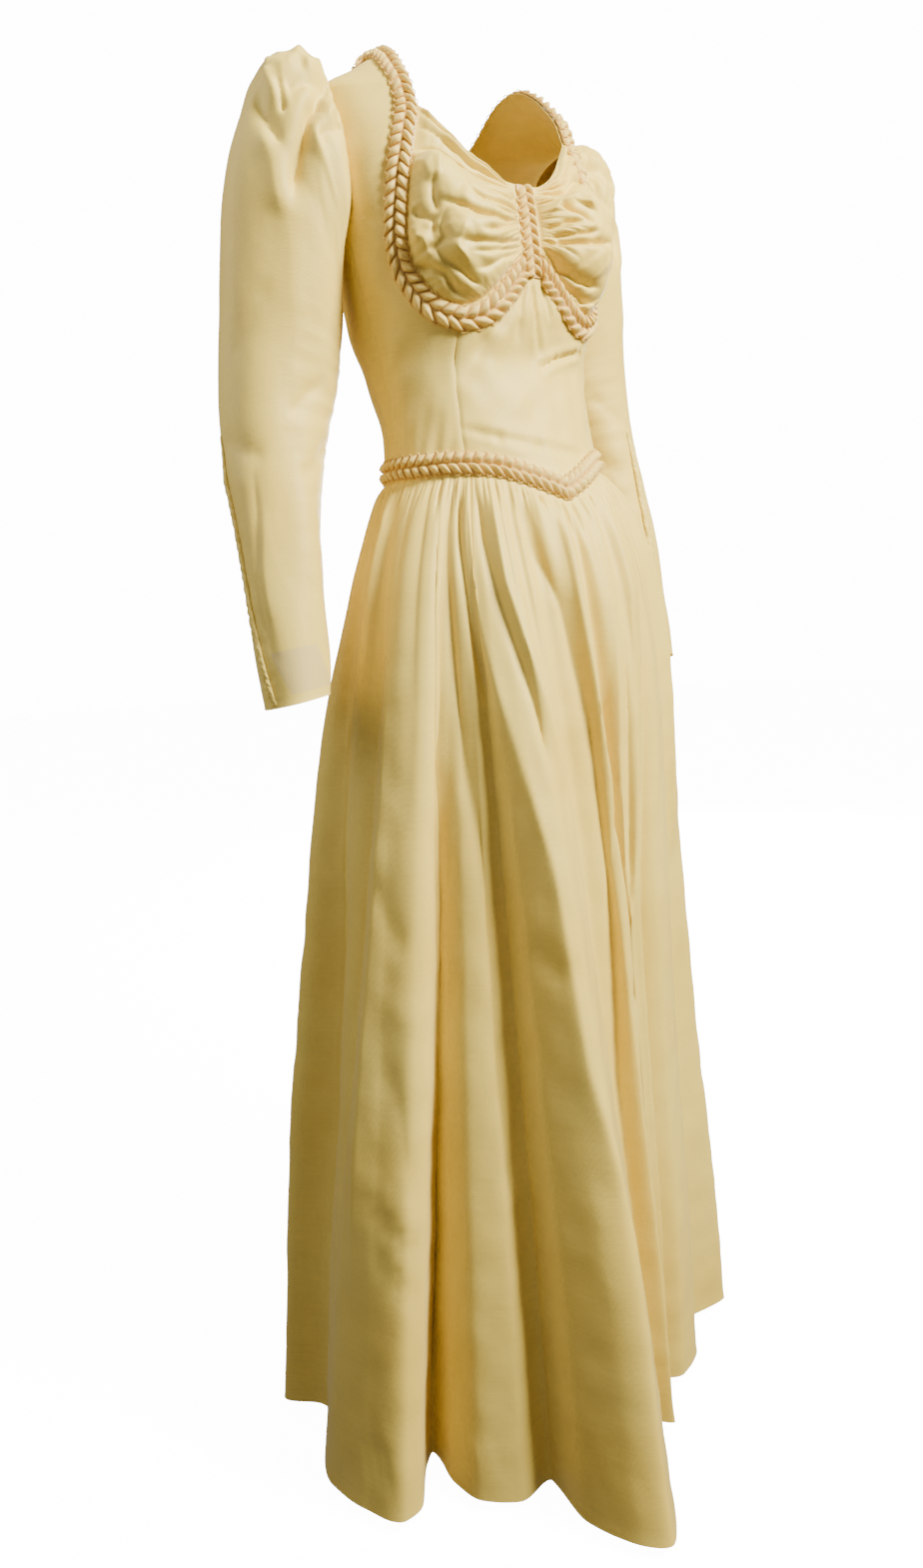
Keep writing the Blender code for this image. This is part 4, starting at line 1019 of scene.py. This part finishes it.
def midriff():
    """The front panel between the princess seams, with its soft creases."""
    cup_edge = seam(CUP_BOTTOM, CUP_BOTTOM_CELLS * FINE)
    cup_edge[0, 0] = 0.0
    top = join(mirrored(cup_edge[::-1]), cup_edge)
    end = princess_seam()
    angles = np.linspace(-end[0, 0], end[0, 0], len(top))
    bottom = np.stack([angles, waist_height(angles)], -1)
    rise = (end[:, 1] - end[0, 1]) / (end[-1, 1] - end[0, 1])
    steps = np.linspace(0, len(rise) - 1, 2 * len(rise) - 1)
    share = np.interp(steps, np.arange(len(rise)), rise)
    marks = np.linspace(0, 1, 400)
    even = [np.interp(marks, rise, values) for values in end.T]
    end = np.stack([np.interp(share, marks, values) for values in even], -1)
    grid = coons(bottom, top, mirrored(end), end, share)
    flat = trunk(grid[..., 0], grid[..., 1], 0.0)
    x, z = flat[..., 0], flat[..., 2]
    across, upward = runs(flat)
    lift = edge_dip(across, upward)
    lift += MIDRIFF_DEPTH * crease(x, z, MIDRIFF_CREASES)
    lift += relief("midriff swell", noise, 0, x, z) * inner_share(across)
    below_cup = bump(upward[-1:] - upward, 0.022) * ramp(np.abs(x), 0.012, 0.03)
    lift += relief("midriff under cup", puffs, 0, across) * below_cup
    points = trunk(grid[..., 0], grid[..., 1], lift)
    return cloth("midriff_front", "bodice_midriff_front", points, gown_cloth)


def cup_chart(across, up):
    """Metres across and up the cup for shares of its width and height."""
    return across * CUP_WIDTH, up * CUP_HEIGHT


def cup_lift(u, v, side):
    """How far the gathered cup stands off the form, with its puffs, gathers and crumples."""
    out = np.clip((u - CUP_FLAT_SHARE) / (1 - CUP_FLAT_SHARE), 0, 1)
    x, z = cup_chart(out, v)
    turn = 7 * side
    lift = CUP_RISE * (np.sin(np.pi * out) * np.sin(np.pi * v)) ** 0.72
    fan = ((v - 0.42) / (1 + 1.1 * out) + 0.42) * CUP_HEIGHT
    depth = 0.65 + relief("cup gather depth", waves, turn, z)
    gathered = span(out, 0.0, 0.05, 0.08, 0.42) * depth
    lift += relief("cup gathers", puffs, turn, fan) * gathered
    lift += relief("cup fine gathers", puffs, turn, fan) * span(out, 0.0, 0.03, 0.04, 0.18)
    puff = bump(out - 0.83, 0.14) * bump(v - 0.82, 0.15)
    lift += CUP_PUFF_RISE * puff
    calm = 1 - 0.85 * np.clip(puff * 1.4, 0, 1)
    outer = span(out, 0.50, 0.78, 0.96, 1.0) * calm
    lift += relief("cup outer crumples", facets, turn, x, z) * outer
    lift += relief("cup inner crumples", facets, turn, x, z) * ramp(out, 0.15, 0.35) * calm
    lift += relief("cup edge tucks", puffs, turn, z) * span(out, 0.88, 0.95, 0.985, 1.0) * calm
    foot = bump(v, 0.08) * ramp(out, 0.25, 0.5)
    lift += relief("cup foot tucks", puffs, turn, x) * foot
    lift += CUP_FOLD_SHARE[side] * folds(x, z, CUP_LINES[side], cup_chart)
    edges = ramp(np.minimum(v, 1 - v), 0.0, 0.05) * ramp(1 - out, 0.0, 0.02)
    return np.where(out > 0, lift * edges, 0.0)


def from_centre(low, high, end):
    """A patch from the centre line out to its end, with shares across and up it."""
    cells = CUP_BOTTOM_CELLS * CUP_FINE
    bottom, top = seam(low, cells), seam(high, cells)
    bottom[0, 0] = 0.0
    top[0, 0] = 0.0
    heights = np.linspace(bottom[0, 1], top[0, 1], len(end))
    start = np.stack([np.zeros(len(heights)), heights], -1)
    u, v = np.meshgrid(np.linspace(0, 1, len(bottom)), np.linspace(0, 1, len(end)))
    return coons(bottom, top, start, end), u, v


def cup(side, tag):
    """A cup gathered to the centre and crumpled into the braid at its outer edge."""
    end = seam(CUP_SIDE, CUP_SIDE_CELLS * CUP_FINE)
    grid, u, v = from_centre(CUP_BOTTOM, DRAPE_FOOT, end)
    points = lifted(grid, cup_lift(u, v, side), side)
    return cloth(f"cup_{tag}", f"bust_cup_{tag}", points, cup_cloth)


def neck_drape(side, tag):
    """The folded band between the neckline and the cup."""
    grid, u, v = from_centre(DRAPE_FOOT, NECKLINE, seam(DRAPE_END, 30))
    spread = span(u, CUP_FLAT_SHARE, CUP_FLAT_SHARE + 0.3, 0.90, 1.0)
    body = DRAPE_RISE * np.sin(np.pi * v) ** 0.8
    pleat = v * 0.045 + 0.006 * np.sin(3 * u) - 0.012 * u * v
    body += relief("drape pleats", puffs, side, pleat)
    body += relief("drape crumples", facets, side, u * 0.12, v * 0.04)
    roll = DRAPE_ROLL_RISE * bump(v - 0.93, 0.06)
    lift = (body + roll) * spread * ramp(np.minimum(v, 1.02 - v), 0.0, 0.06)
    return cloth(f"drape_{tag}", f"neck_drape_{tag}", lifted(grid, lift, side), cup_cloth)


# Sleeves


def armhole_loop(turn):
    """The right armhole as angle and height, all round from the underarm by the front."""
    share = turn / np.pi
    up = armhole(np.clip(share, 0, 1), True)
    down = armhole(np.clip(2 - share, 0, 1), False)
    return np.where(turn[:, None] <= np.pi, up, down) * np.array([RIGHT, 1.0])


def sleeve_chart(station, degrees):
    """Metres round the arm from its outside and down it for a station and degrees round it."""
    marks = np.arange(len(SLEEVE) + 1)
    girth = np.interp(station, marks, column(SLEEVE_MEASURES, "girth"))
    run = np.interp(station, marks, column(SLEEVE_MEASURES, "run"))
    return girth * (degrees - 180) / 360, run + 0 * degrees


def placket_degrees(side, station):
    """How far round the arm the placket lies at stations along the sleeve."""
    return np.interp(station, [PLACKET_FROM, len(SLEEVE)], PLACKET_LINES[side])


def sleeve_rings(turn):
    """The armhole and the plain rings of the right sleeve, with their middles."""
    loop = armhole_loop(turn)
    start = trunk(loop[:, 0], loop[:, 1], -ARMHOLE_TUCK)
    start = start + unit(start - start.mean(0)) * ARMHOLE_TUCK
    rings, middles = [start], [start.mean(0)]
    for ring in SLEEVE:
        inner = np.array([-ring.inner, ring.centre_y, ring.inner_height])
        outer = np.array([-ring.outer, ring.centre_y, ring.outer_height])
        middle = (inner + outer) / 2
        points = middle + np.outer(np.cos(turn), (inner - outer) / 2)
        points[:, 1] -= ring.half_depth * np.sin(turn)
        points[:, 2] += ring.lift * np.sin(turn)
        rings.append(points)
        middles.append(middle)
    return np.array(rings), np.array(middles)


def sleeve_push(side, turn, station):
    """How far the sleeve's cloth stands off its plain rings."""
    degrees = np.degrees(turn)
    shift = FAR_SLEEVE_TURN if side == LEFT else 0.0
    x, y = sleeve_chart(station, degrees)
    placed = folds(x, y, SLEEVE_LINES, lambda at, round_arm: sleeve_chart(at, round_arm + shift))
    push = SLEEVE_FOLD_SHARE[side] * placed * ramp(station, 0.0, 0.5)
    for swell in SLEEVE_SWELLS[side]:
        reach = span(station, swell.start, swell.full, swell.fade, swell.gone)
        push += swell.height * bump(degrees - swell.degrees, swell.wide) * reach
    if side == LEFT:
        push -= FAR_HEAD_HOLLOW * bump(degrees - 184, 30) * bump(station - 1.5, 0.9)
    girth = turn * ARM_RADIUS
    top = ramp(125 - np.abs(degrees - 180), 0.0, 50)
    push += relief("sleeve gathers", puffs, side, girth) * top * span(station, 0.05, 0.5, 0.7, 1.9)
    fine = span(station, 0.0, 0.25, 0.35, 1.0)
    push += relief("sleeve fine gathers", puffs, side, girth) * top * fine
    head = bump(station - 2.6, 1.5) * top
    push += relief("sleeve head crumples", facets, side, x, y) * head
    body = ramp(station, 2.5, 5.0)
    push += relief("sleeve swell", noise, side, girth, y * 0.35) * body
    push += relief("sleeve crumples", facets, side, x, y * 0.5) * body
    inner_elbow = bump(station - 8.0, 1.6) * ramp(60 - np.abs(degrees - 60), 0.0, 45)
    push += relief("elbow creases", puffs, side, y - 0.12 * girth) * inner_elbow
    away = np.abs(degrees - placket_degrees(side, station))
    reached = ramp(station, PLACKET_FROM - 0.4, PLACKET_FROM + 0.3)
    push += relief("beside placket", puffs, side, y) * reached * bump(away - 13, 7)
    return push + EDGE_ROLL * bump(station - len(SLEEVE), 0.035)


def sleeve_points(side, columns, stations):
    """The sleeve's points at columns round the arm and stations along its rings."""
    turn = 2 * np.pi * np.arange(columns) / columns
    rings, middles = sleeve_rings(turn)
    marks = np.arange(len(rings))
    points = smooth(marks, rings, stations, 1.0)
    middle = smooth(marks, middles, stations, 1.0)[:, None]
    push = sleeve_push(side, turn[None], stations[:, None])
    turned = points + unit(points - middle) * push[..., None]
    if side == LEFT:
        turned = turned[:, ::-1] * np.array([-1.0, 1.0, 1.0])
    return turned


def sleeve(side, tag):
    """A long sleeve, full at its head and narrow at the wrist, from the cuff up."""
    head, upper = np.linspace(0, 1, 13)[:-1], np.linspace(1, 4, 40)[:-1]
    stations = np.concatenate([head, upper, np.linspace(4, 12, 91)])
    points = sleeve_points(side, SLEEVE_COLUMNS, stations)[::-1][:, ::-1]
    name = f"sleeve_long_{tag}"
    return cloth(name, f"sleeve_{tag}", points, sleeve_cloths[side], closed=True)


def placket(side, tag):
    """The narrow puckered closing along the forearm."""
    stations = np.linspace(PLACKET_FROM, len(SLEEVE) - 0.06, 170)
    points = sleeve_points(side, PLACKET_COLUMNS, stations)
    out = normals(points, True)
    share = np.linspace(0, 1, 13)[None]
    seats = placket_degrees(side, stations)[:, None] + PLACKET_HALF_DEGREES * (2 * share - 1)
    if side == LEFT:
        seats = (PLACKET_COLUMNS - 1 - seats)[:, ::-1]
    line, out = along_rows(points, seats), unit(along_rows(out, seats))
    run = np.linspace(0, PLACKET_LENGTH, len(stations))[:, None]
    rise = PLACKET_EDGE_RISE + PLACKET_CROWN * np.sin(np.pi * share) ** 0.5
    slanted = run + 0.004 * np.sin(6 * share)
    puckers = relief("placket puckers", puffs, side, slanted)
    rise = rise + puckers * (0.4 + 0.6 * np.abs(2 * share - 1))
    ends = ramp(run, -0.002, 0.045) * ramp(PLACKET_LENGTH - run, -0.001, 0.014)
    rise = CLOTH + (rise - CLOTH) * ends
    outside = (line + out * rise[..., None])[::-1, ::-1]
    inside = (line + out * PLACKET_GAP)[::-1, ::-1]
    name = f"placket_{tag}"
    return cloth(name, f"sleeve_{name}", outside, gown_cloth, inside=inside)


def along_rows(grid, columns):
    """Points between the columns of a closed grid, row by row."""
    low = np.floor(columns).astype(int)
    part = (columns - low)[..., None]
    row = np.arange(len(grid))[:, None]
    wide = grid.shape[1]
    return grid[row, low % wide] * (1 - part) + grid[row, (low + 1) % wide] * part


# Skirt


def fold_columns():
    """Waist angle, hem point, seat and share for each fine column of the skirt."""
    waist = np.radians(column(FOLDS, "waist"))
    hem = np.radians(column(FOLDS, "hem"))
    radius = column(FOLDS, "radius")
    cells = [int(fold.cells) * SKIRT_FINE for fold in FOLDS]
    count = len(FOLDS)
    start = np.r_[0, np.cumsum(cells)]
    marks = np.arange(-4, count + 5)
    turns = np.floor_divide(marks, count)
    seats = start[marks % count] + turns * start[-1]
    spot = marks % count
    spokes = np.stack([radius * np.sin(hem), -radius * np.cos(hem)], -1)[spot]
    angles = waist[spot] + 2 * np.pi * turns
    at = np.arange(start[-1])
    spokes = smooth(seats, spokes, at)
    angle = hermite(seats, angles, at)
    wave = np.zeros(len(at))
    for k, number in enumerate(cells):
        if number >= 3 * SKIRT_FINE:
            share = np.arange(number) / number
            wave[start[k] : start[k + 1]] = np.sin(2 * np.pi * share)
    return angle, spokes, wave, start


def skirt_rows():
    """Shares of the skirt's length for its fine rows, closer near the waist."""
    parts = ((0, 0.06, 15), (0.06, 0.23, 26), (0.23, 0.54, 30), (0.54, 0.90, 30))
    rows = [np.linspace(*part)[:-1] for part in parts]
    return np.concatenate(rows + [np.linspace(0.90, 1.0, 14)])


def skirt_chart(seat, share):
    """Metres round from the front and down the skirt for a cell and a share of its length."""
    cell = SKIRT_CELL_AT_WAIST + (SKIRT_CELL_AT_HEM - SKIRT_CELL_AT_WAIST) * share
    return (seat - SKIRT_FRONT_CELL) * cell, share * (WAIST_HEIGHT - HEM_HEIGHT) + 0 * seat


def hidden_folds():
    """Folds like the placed ones for the sides and the back."""
    random = np.random.default_rng(HIDDEN_FOLD_SEED)
    lines = []
    for number, cell in enumerate(HIDDEN_FOLD_CELLS):
        slant = random.uniform(-2.2, 2.2)
        reach = random.uniform(0.22, 0.62)
        bend = random.uniform(-0.8, 0.8)
        spots = [
            (cell, -0.02),
            (cell + 0.3 * slant + bend, 0.3 * reach),
            (cell + slant, reach),
        ]
        rise = HIDDEN_FOLD_RISE * random.uniform(0.7, 1.2)
        way = 1 if number % 2 else -1
        lines.append(Line(way * rise, random.uniform(0.008, 0.016), 0.009, spots))
    return lines


def skirt_grid(angle, hem, wave):
    """The plain skirt all round from the waist seam down, and its rows' shares of the length."""
    seam_height = waist_height(angle)
    below = trunk(angle, seam_height - WAIST_BAND, 0.0)
    shares, outs, gathers = np.array(FLARE).T
    band = (0.0, 0.35, 0.7)
    grid = [trunk(angle, seam_height - WAIST_BAND * part, 0.0) for part in band]
    full_side = np.clip(np.cos(angle - np.radians(FULL_SIDE_DEGREES)), 0, 1)
    for share in skirt_rows():
        out = hermite(shares, outs, share)
        gather = hermite(shares, gathers, share) * GATHER_LIFT
        point = below.copy()
        point[:, :2] = below[:, :2] * (1 - share) + hem * share
        point[:, 2] = below[:, 2] * (1 - share) + HEM_HEIGHT * share
        full = full_side * np.interp(share, [0.2, 0.7], [1.0, 0.0])
        reach = out * (1 + FULL_SIDE_SHARE * full) + gather * wave
        point[:, :2] += unit(point[:, :2]) * reach[:, None]
        grid.append(point)
    return np.array(grid), np.r_[np.zeros(len(band)), skirt_rows()][:, None]


def skirt_push(grid, level, angle, hem):
    """How far the skirt's folds, tucks and creases stand off its plain form."""
    run = angle[None] * WAIST_RADIUS
    seat = np.arange(grid.shape[1])[None] / SKIRT_FINE
    x, y = skirt_chart(seat, level)
    strength = ramp(level, 0.0, 0.035) * (1 - 0.75 * ramp(level, 0.55, 1.0))
    push = folds(x, y, SKIRT_LINES + hidden_folds(), skirt_chart) * strength
    tucks = span(level, 0.0, 0.008, 0.012, 0.05)
    depth = 0.8 + relief("waist tuck depth", waves, 0, run)
    push += relief("waist tucks", puffs, 0, run) * tucks * depth
    push += relief("waist fine tucks", puffs, 0, run) * span(level, 0.0, 0.006, 0.010, 0.035)
    hip = span(level, 0.01, 0.04, 0.06, 0.17)
    push += relief("hip folds", puffs, 0, run + 0.02 * level) * hip
    push += relief("skirt creases", facets, 0, x, y * 0.40) * ramp(level, 0.10, 0.35)
    hem_run = np.unwrap(np.arctan2(hem[:, 0], -hem[:, 1]))[None] * HEM_RADIUS
    push += relief("skirt swell", noise, 0, hem_run, level * 0.25) * ramp(level, 0.25, 0.6)
    push += relief("skirt fine swell", noise, 0, hem_run, level * 0.9) * ramp(level, 0.1, 0.3)
    up = grid[..., 2] - HEM_HEIGHT
    push -= HEM_STITCH_DIP * bump(up - HEM_DEPTH, 0.0030)
    above_hem = bump(up - HEM_DEPTH * 0.8, 0.016)
    push += relief("hem puckers", puffs, 0, hem_run + 0.2 * up) * above_hem
    return push + EDGE_ROLL * bump(up, 0.005)


def skirt_surface():
    """The skirt all round, from the hem up to the waist seam, and where its folds start."""
    angle, hem, wave, start = fold_columns()
    grid, level = skirt_grid(angle, hem, wave)
    push = skirt_push(grid, level, angle, hem)
    grid, push = grid[::-1], push[::-1]
    return grid + normals(grid, True) * push[..., None], start


def skirt():
    """The gathered skirt in five gores, their seams drawn in a little."""
    points, start = skirt_surface()
    total = points.shape[1]
    waists = [fold.waist for fold in FOLDS]
    seams = [start[waists.index(degrees)] for degrees in GORE_SEAMS] + [total]
    out = normals(points, True)
    for seat in seams[:-1]:
        for step, share in ((-1, 0.35), (0, 1.0), (1, 0.35)):
            near = (seat + step) % total
            points[:, near] -= out[:, near] * (SEAM_DIP * share)
    pieces = {}
    tags = ("back_R", "side_R", "front", "side_L", "back_L")
    for tag, first, last in zip(tags, seams[:-1], seams[1:]):
        gore = points[:, np.arange(first, last + 1) % total]
        pieces[tag] = cloth(f"gore_{tag}", f"skirt_{tag}", gore, gown_cloth)
    return pieces


# Braid

# One chevron of the braid from the side: how far along it and how high
TUCKS = table("along rise", """
    0 0; 0.12 0.16; 0.28 0.5; 0.46 0.82; 0.64 1; 0.8 0.96; 0.95 0.74; 1.02 0.44; 1 0.14
""")
# The braid across its width: where, and how much of the full rise it has there
CRESTS = table("across rise", """
    -1 0.06; -0.95 0.34; -0.86 0.58; -0.72 0.78; -0.56 0.94; -0.42 1; -0.28 0.86; -0.16 0.58;
    -0.06 0.26; 0 0.16; 0.06 0.26; 0.16 0.58; 0.28 0.86; 0.42 1; 0.56 0.94; 0.72 0.78; 0.86 0.58;
    0.95 0.34; 1 0.06
""")


def braid_frame(path, side, width, clear, upright):
    """A function that places points of a braid: along in chevrons, across, and above."""
    line = trunk(path[:, 0], path[:, 1], 0.0)
    length = distances(line)[-1]
    count = int(round(length / BRAID_PITCH))
    dense = evenly(np.c_[line, path], count * BRAID_FINE)
    facing = unit(trunk(dense[:, 3], dense[:, 4], 1.0) - trunk(dense[:, 3], dense[:, 4], 0.0))
    reach = BRAID_FINE // 2
    index = np.arange(len(dense))
    after = np.minimum(index + reach, len(dense) - 1)
    before = np.maximum(index - reach, 0)
    sideways = unit(np.cross(facing, dense[after, :3] - dense[before, :3])) * side

    def place(along, across, above):
        along, across, above = np.broadcast_arrays(along, across, above)
        mark = np.clip(along, 0, count) * BRAID_FINE
        low = np.clip(mark.astype(int), 0, len(dense) - 2)
        part = np.clip(mark - low, 0, 1)[..., None]
        offset = width / 2 * (1 + across)
        spot = dense[low] * (1 - part) + dense[low + 1] * part
        if upright:
            angle = spot[..., 3]
            height = spot[..., 4] + offset
        else:
            way = unit(sideways[low] * (1 - part) + sideways[low + 1] * part)
            point = spot[..., :3] + way * offset[..., None]
            near_end = along > count / 2
            held = side * np.maximum(side * point[..., 0], clear)
            point[..., 0] = np.where(near_end, held, point[..., 0])
            angle = angle_at(point)
            height = point[..., 2]
        proud = BRAID_CLEARANCE * np.interp(height, [-0.09, -0.05], [0.0, 1.0])
        return trunk(angle, height, BRAID_CLEARANCE + proud + above)

    return place, count


def braid(name, node, path, side, clear=-1.0, width=BRAID_WIDTH, upright=False, seed=100):
    """A band of folded ribbon in raised chevrons, with small loops along both edges."""
    place, count = braid_frame(path, side, width, clear, upright)
    random = np.random.default_rng(seed)
    across = column(CRESTS, "across")
    crest = column(CRESTS, "rise")
    slant = BRAID_SLANT / BRAID_PITCH * (1 - np.abs(across))
    slant = slant - BRAID_STAGGER * ramp(across, -0.08, 0.08)
    rows, heights = [np.zeros(len(across))], [0.10 * crest]
    for number in range(count):
        size = random.uniform(0.86, 1.12)
        jog = random.uniform(-0.05, 0.05)
        lopsided = random.uniform(-0.10, 0.10) * across
        for tuck in TUCKS:
            rows.append(number + jog + tuck.along - slant)
            heights.append(tuck.rise * size * crest * (1 + lopsided))
    rows.append(np.full(len(across), float(count)))
    heights.append(0.10 * crest)
    rows = np.clip(np.array(rows), 0, count)
    heights = np.array(heights)
    scallop = np.cos(2 * np.pi * (rows + slant))
    edge = across[None] * (1 + 0.045 * scallop * (np.abs(across) > 0.9))
    outside = place(rows, edge * BRAID_FLAT, BRAID_BASE + BRAID_RISE * heights)
    inside = place(rows, edge * BRAID_FLAT, -CLOTH)
    if side > 0:
        outside, inside, heights = outside[:, ::-1], inside[:, ::-1], heights[:, ::-1]
    cloth(name, node, outside, braid_cloth, inside=inside, raised=heights)
    piece_loops(name, place, count)


def piece_loops(name, place, count):
    """The row of small wire-thin ribbon loops that edge a braid on both sides."""
    arc = np.linspace(-0.15 * np.pi, 1.15 * np.pi, 9)
    ring = np.linspace(0, 2 * np.pi, 6)[:-1]
    reach_along = 1.15 * LOOP_RADIUS / BRAID_PITCH
    reach_across = 0.9 * LOOP_RADIUS / (BRAID_WIDTH / 2)
    sides = quads(len(arc), len(ring), True)
    start = np.arange(len(ring))[::-1]
    end = len(ring) * len(arc) - 1 - start
    points, faces = [], []
    for edge in (-1, 1):
        for number in range(count):
            along = number + 0.5 + reach_along * np.cos(arc)
            across = edge * (LOOP_SEAT + reach_across * np.sin(arc))
            if along.min() < LOOP_END_GAP or along.max() > count - LOOP_END_GAP:
                continue
            centre = place(along, across, LOOP_LIFT)
            up = unit(place(along, across, LOOP_LIFT + 0.001) - centre)
            run = unit(np.gradient(centre, axis=0))
            beside = unit(np.cross(run, up))
            around = beside[:, None] * np.cos(ring)[:, None] + up[:, None] * np.sin(ring)[:, None]
            tube = centre[:, None] + LOOP_WIRE * around
            base = len(points)
            points.extend(tube.reshape(-1, 3))
            faces.extend((base + sides).tolist())
            faces.extend([(base + start).tolist(), (base + end).tolist()])
    raised = np.full(len(points), LOOP_RAISED)
    loops = solid(name + "_loops", settle(np.array(points)), faces, braid_cloth, raised=raised)
    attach(loops, "root")


def neck_braid(side, tag):
    """The braid from the centre back neck over the shoulder and round the cup."""
    back = back_neck(48)[::-1]
    front = join(
        seam(NECK_EDGE, 24)[::-1],
        seam(DRAPE_END, 16)[::-1],
        seam(CUP_SIDE, 60)[::-1],
        seam(CUP_BOTTOM, 40)[::-1],
    )
    front[0, 0] = np.pi / 2
    path = join(back, front)
    clear = CENTRE_BRAID_HALF + 0.0003
    keep = form(path[:, 0], path[:, 1])[:, 0] > clear
    keep[: len(back)] = True
    path = path[keep] * np.array([side, 1.0])
    path[0, 0] -= side * 0.006
    braid(f"neck_braid_{tag}", f"braid_neck_{tag}", path, side, clear, seed=101 + side)


def waist_braid():
    """The braid round the waist seam, with its ends at the wearer's left side."""
    angles = np.radians(np.linspace(91, 449, 480))
    path = np.stack([angles, waist_height(angles) - BRAID_WIDTH / 2], -1)
    braid("waist_braid", "braid_waist", path, LEFT, upright=True, seed=104)


def centre_braid():
    """The short braid down the middle between the cups."""
    heights = np.linspace(NECKLINE[0].height, CUP_BOTTOM[0].height - BRAID_WIDTH, 24)
    path = np.stack([angle_across(CENTRE_BRAID_HALF, heights) * LEFT, heights], -1)
    width = 2 * CENTRE_BRAID_HALF
    braid("centre_braid", "braid_centre", path, RIGHT, width=width, seed=105)


# Assembly

Cut = namedtuple("Cut", "width length area held hangs_from")


for side, tag in ((RIGHT, "R"), (LEFT, "L")):
    neck_braid(side, tag)
    side_front(side, tag)
    bodice_back(side, tag)
    cup(side, tag)
    neck_drape(side, tag)
    closing = placket(side, tag)
    sleeve(side, tag)
midriff()
for tag, piece in skirt().items():
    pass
waist_braid()
centre_braid()


# Stage, light and camera


def plain(name, glow):
    """A pale matt material for the stage that glows, so that it stays near white."""
    looks = {
        "Base Color": (0.93, 0.93, 0.93, 1.0),
        "Roughness": 0.9,
        "Emission Color": (1.0, 1.0, 1.0, 1.0),
        "Emission Strength": glow,
    }
    return principled(name, looks)


def unlit(name, material):
    """Name the newest object and keep its glow from lighting the dress."""
    piece = bpy.context.object
    piece.name = name
    piece.data.materials.append(material)
    for ray in ("diffuse", "glossy", "transmission", "volume_scatter", "shadow"):
        setattr(piece, "visible_" + ray, False)


def floor():
    """A wide pale floor just under the hem."""
    low = (0.0, 0.0, HEM_HEIGHT - FLOOR_GAP)
    bpy.ops.mesh.primitive_circle_add(vertices=96, radius=9.0, fill_type="NGON")
    bpy.context.object.location = low
    unlit("studio_floor", plain("studio_floor_paint", FLOOR_GLOW))


def backdrop():
    """A white dome all round."""
    bpy.ops.mesh.primitive_uv_sphere_add(segments=64, ring_count=32, radius=10.0)
    unlit("studio_backdrop", plain("studio_white", BACKDROP_GLOW))


CAMERA_AT = Vector((-0.8135, -0.9609, -0.504))
CAMERA_RIGHT = Vector((0.78138, -0.62284, -0.03892))
CAMERA_UP = Vector((0.13729, 0.11073, 0.98432))
CAMERA_AHEAD = Vector((0.60877, 0.77447, -0.17203))
MIDDLE = Vector((0.0, 0.0, -0.65))
SLEEVE_HEAD = Vector((-0.22, 0.05, -0.16))
LENS = 44.143
SENSOR_WIDTH = 36.0
ROOM_COLOUR = (1.0, 0.92, 1.05, 1.0)
ROOM_LIGHT = 0.14
FLOOR_GAP = 0.012
FLOOR_GLOW = 14.0
BACKDROP_GLOW = 14.5

# Each light: what it looks at, the way to it in the camera's right, its ahead
# and up, its distance, size, watts and colour
Lamp = namedtuple("Lamp", "middle right ahead up distance size watts colour")
LAMPS = {
    "window": Lamp(MIDDLE, 0.90, -0.54, 1.00, 2.7, 0.8, 258, (1.0, 0.945, 0.85)),
    "rim": Lamp(SLEEVE_HEAD, -1.0, -0.10, 0.45, 0.9, 1.1, 10, (1.0, 0.94, 0.84)),
    "fill": Lamp(MIDDLE, -0.3, -1.0, 0.25, 3.2, 1.6, 11, (1.0, 0.93, 0.98)),
    "back": Lamp(MIDDLE, 0.20, 1.0, 0.35, 3.2, 1.8, 150, (1.0, 0.94, 0.90)),
}


def area_light(name, lamp):
    """A square soft light that looks at a part of the dress."""
    data = bpy.data.lights.new(name, "AREA")
    data.shape = "SQUARE"
    data.size = lamp.size
    data.energy = lamp.watts
    data.color = lamp.colour
    way = CAMERA_RIGHT * lamp.right + CAMERA_AHEAD * lamp.ahead + Vector((0, 0, lamp.up))
    made = bpy.data.objects.new(name, data)
    made.location = lamp.middle + way.normalized() * lamp.distance
    made.rotation_euler = (lamp.middle - made.location).to_track_quat("-Z", "Y").to_euler()
    bpy.context.scene.collection.objects.link(made)


def lights():
    """Window light from the camera's right, a rim from its left, a weak fill and a back light."""
    for name, lamp in LAMPS.items():
        area_light(name, lamp)
    world = bpy.data.worlds.new("studio")
    world.use_nodes = True
    ground = world.node_tree.nodes["Background"]
    ground.inputs["Color"].default_value = ROOM_COLOUR
    ground.inputs["Strength"].default_value = ROOM_LIGHT
    bpy.context.scene.world = world


def camera():
    """The camera at the photograph's place."""
    data = bpy.data.cameras.new("camera")
    data.sensor_fit = "HORIZONTAL"
    data.sensor_width = SENSOR_WIDTH
    data.lens = LENS
    data.clip_start = 0.05
    data.clip_end = 50.0
    eye = bpy.data.objects.new("camera", data)
    turn = Matrix((CAMERA_RIGHT, CAMERA_UP, -CAMERA_AHEAD)).transposed()
    eye.matrix_world = Matrix.Translation(CAMERA_AT) @ turn.to_4x4()
    bpy.context.scene.collection.objects.link(eye)
    bpy.context.scene.camera = eye


floor()
backdrop()
lights()
camera()
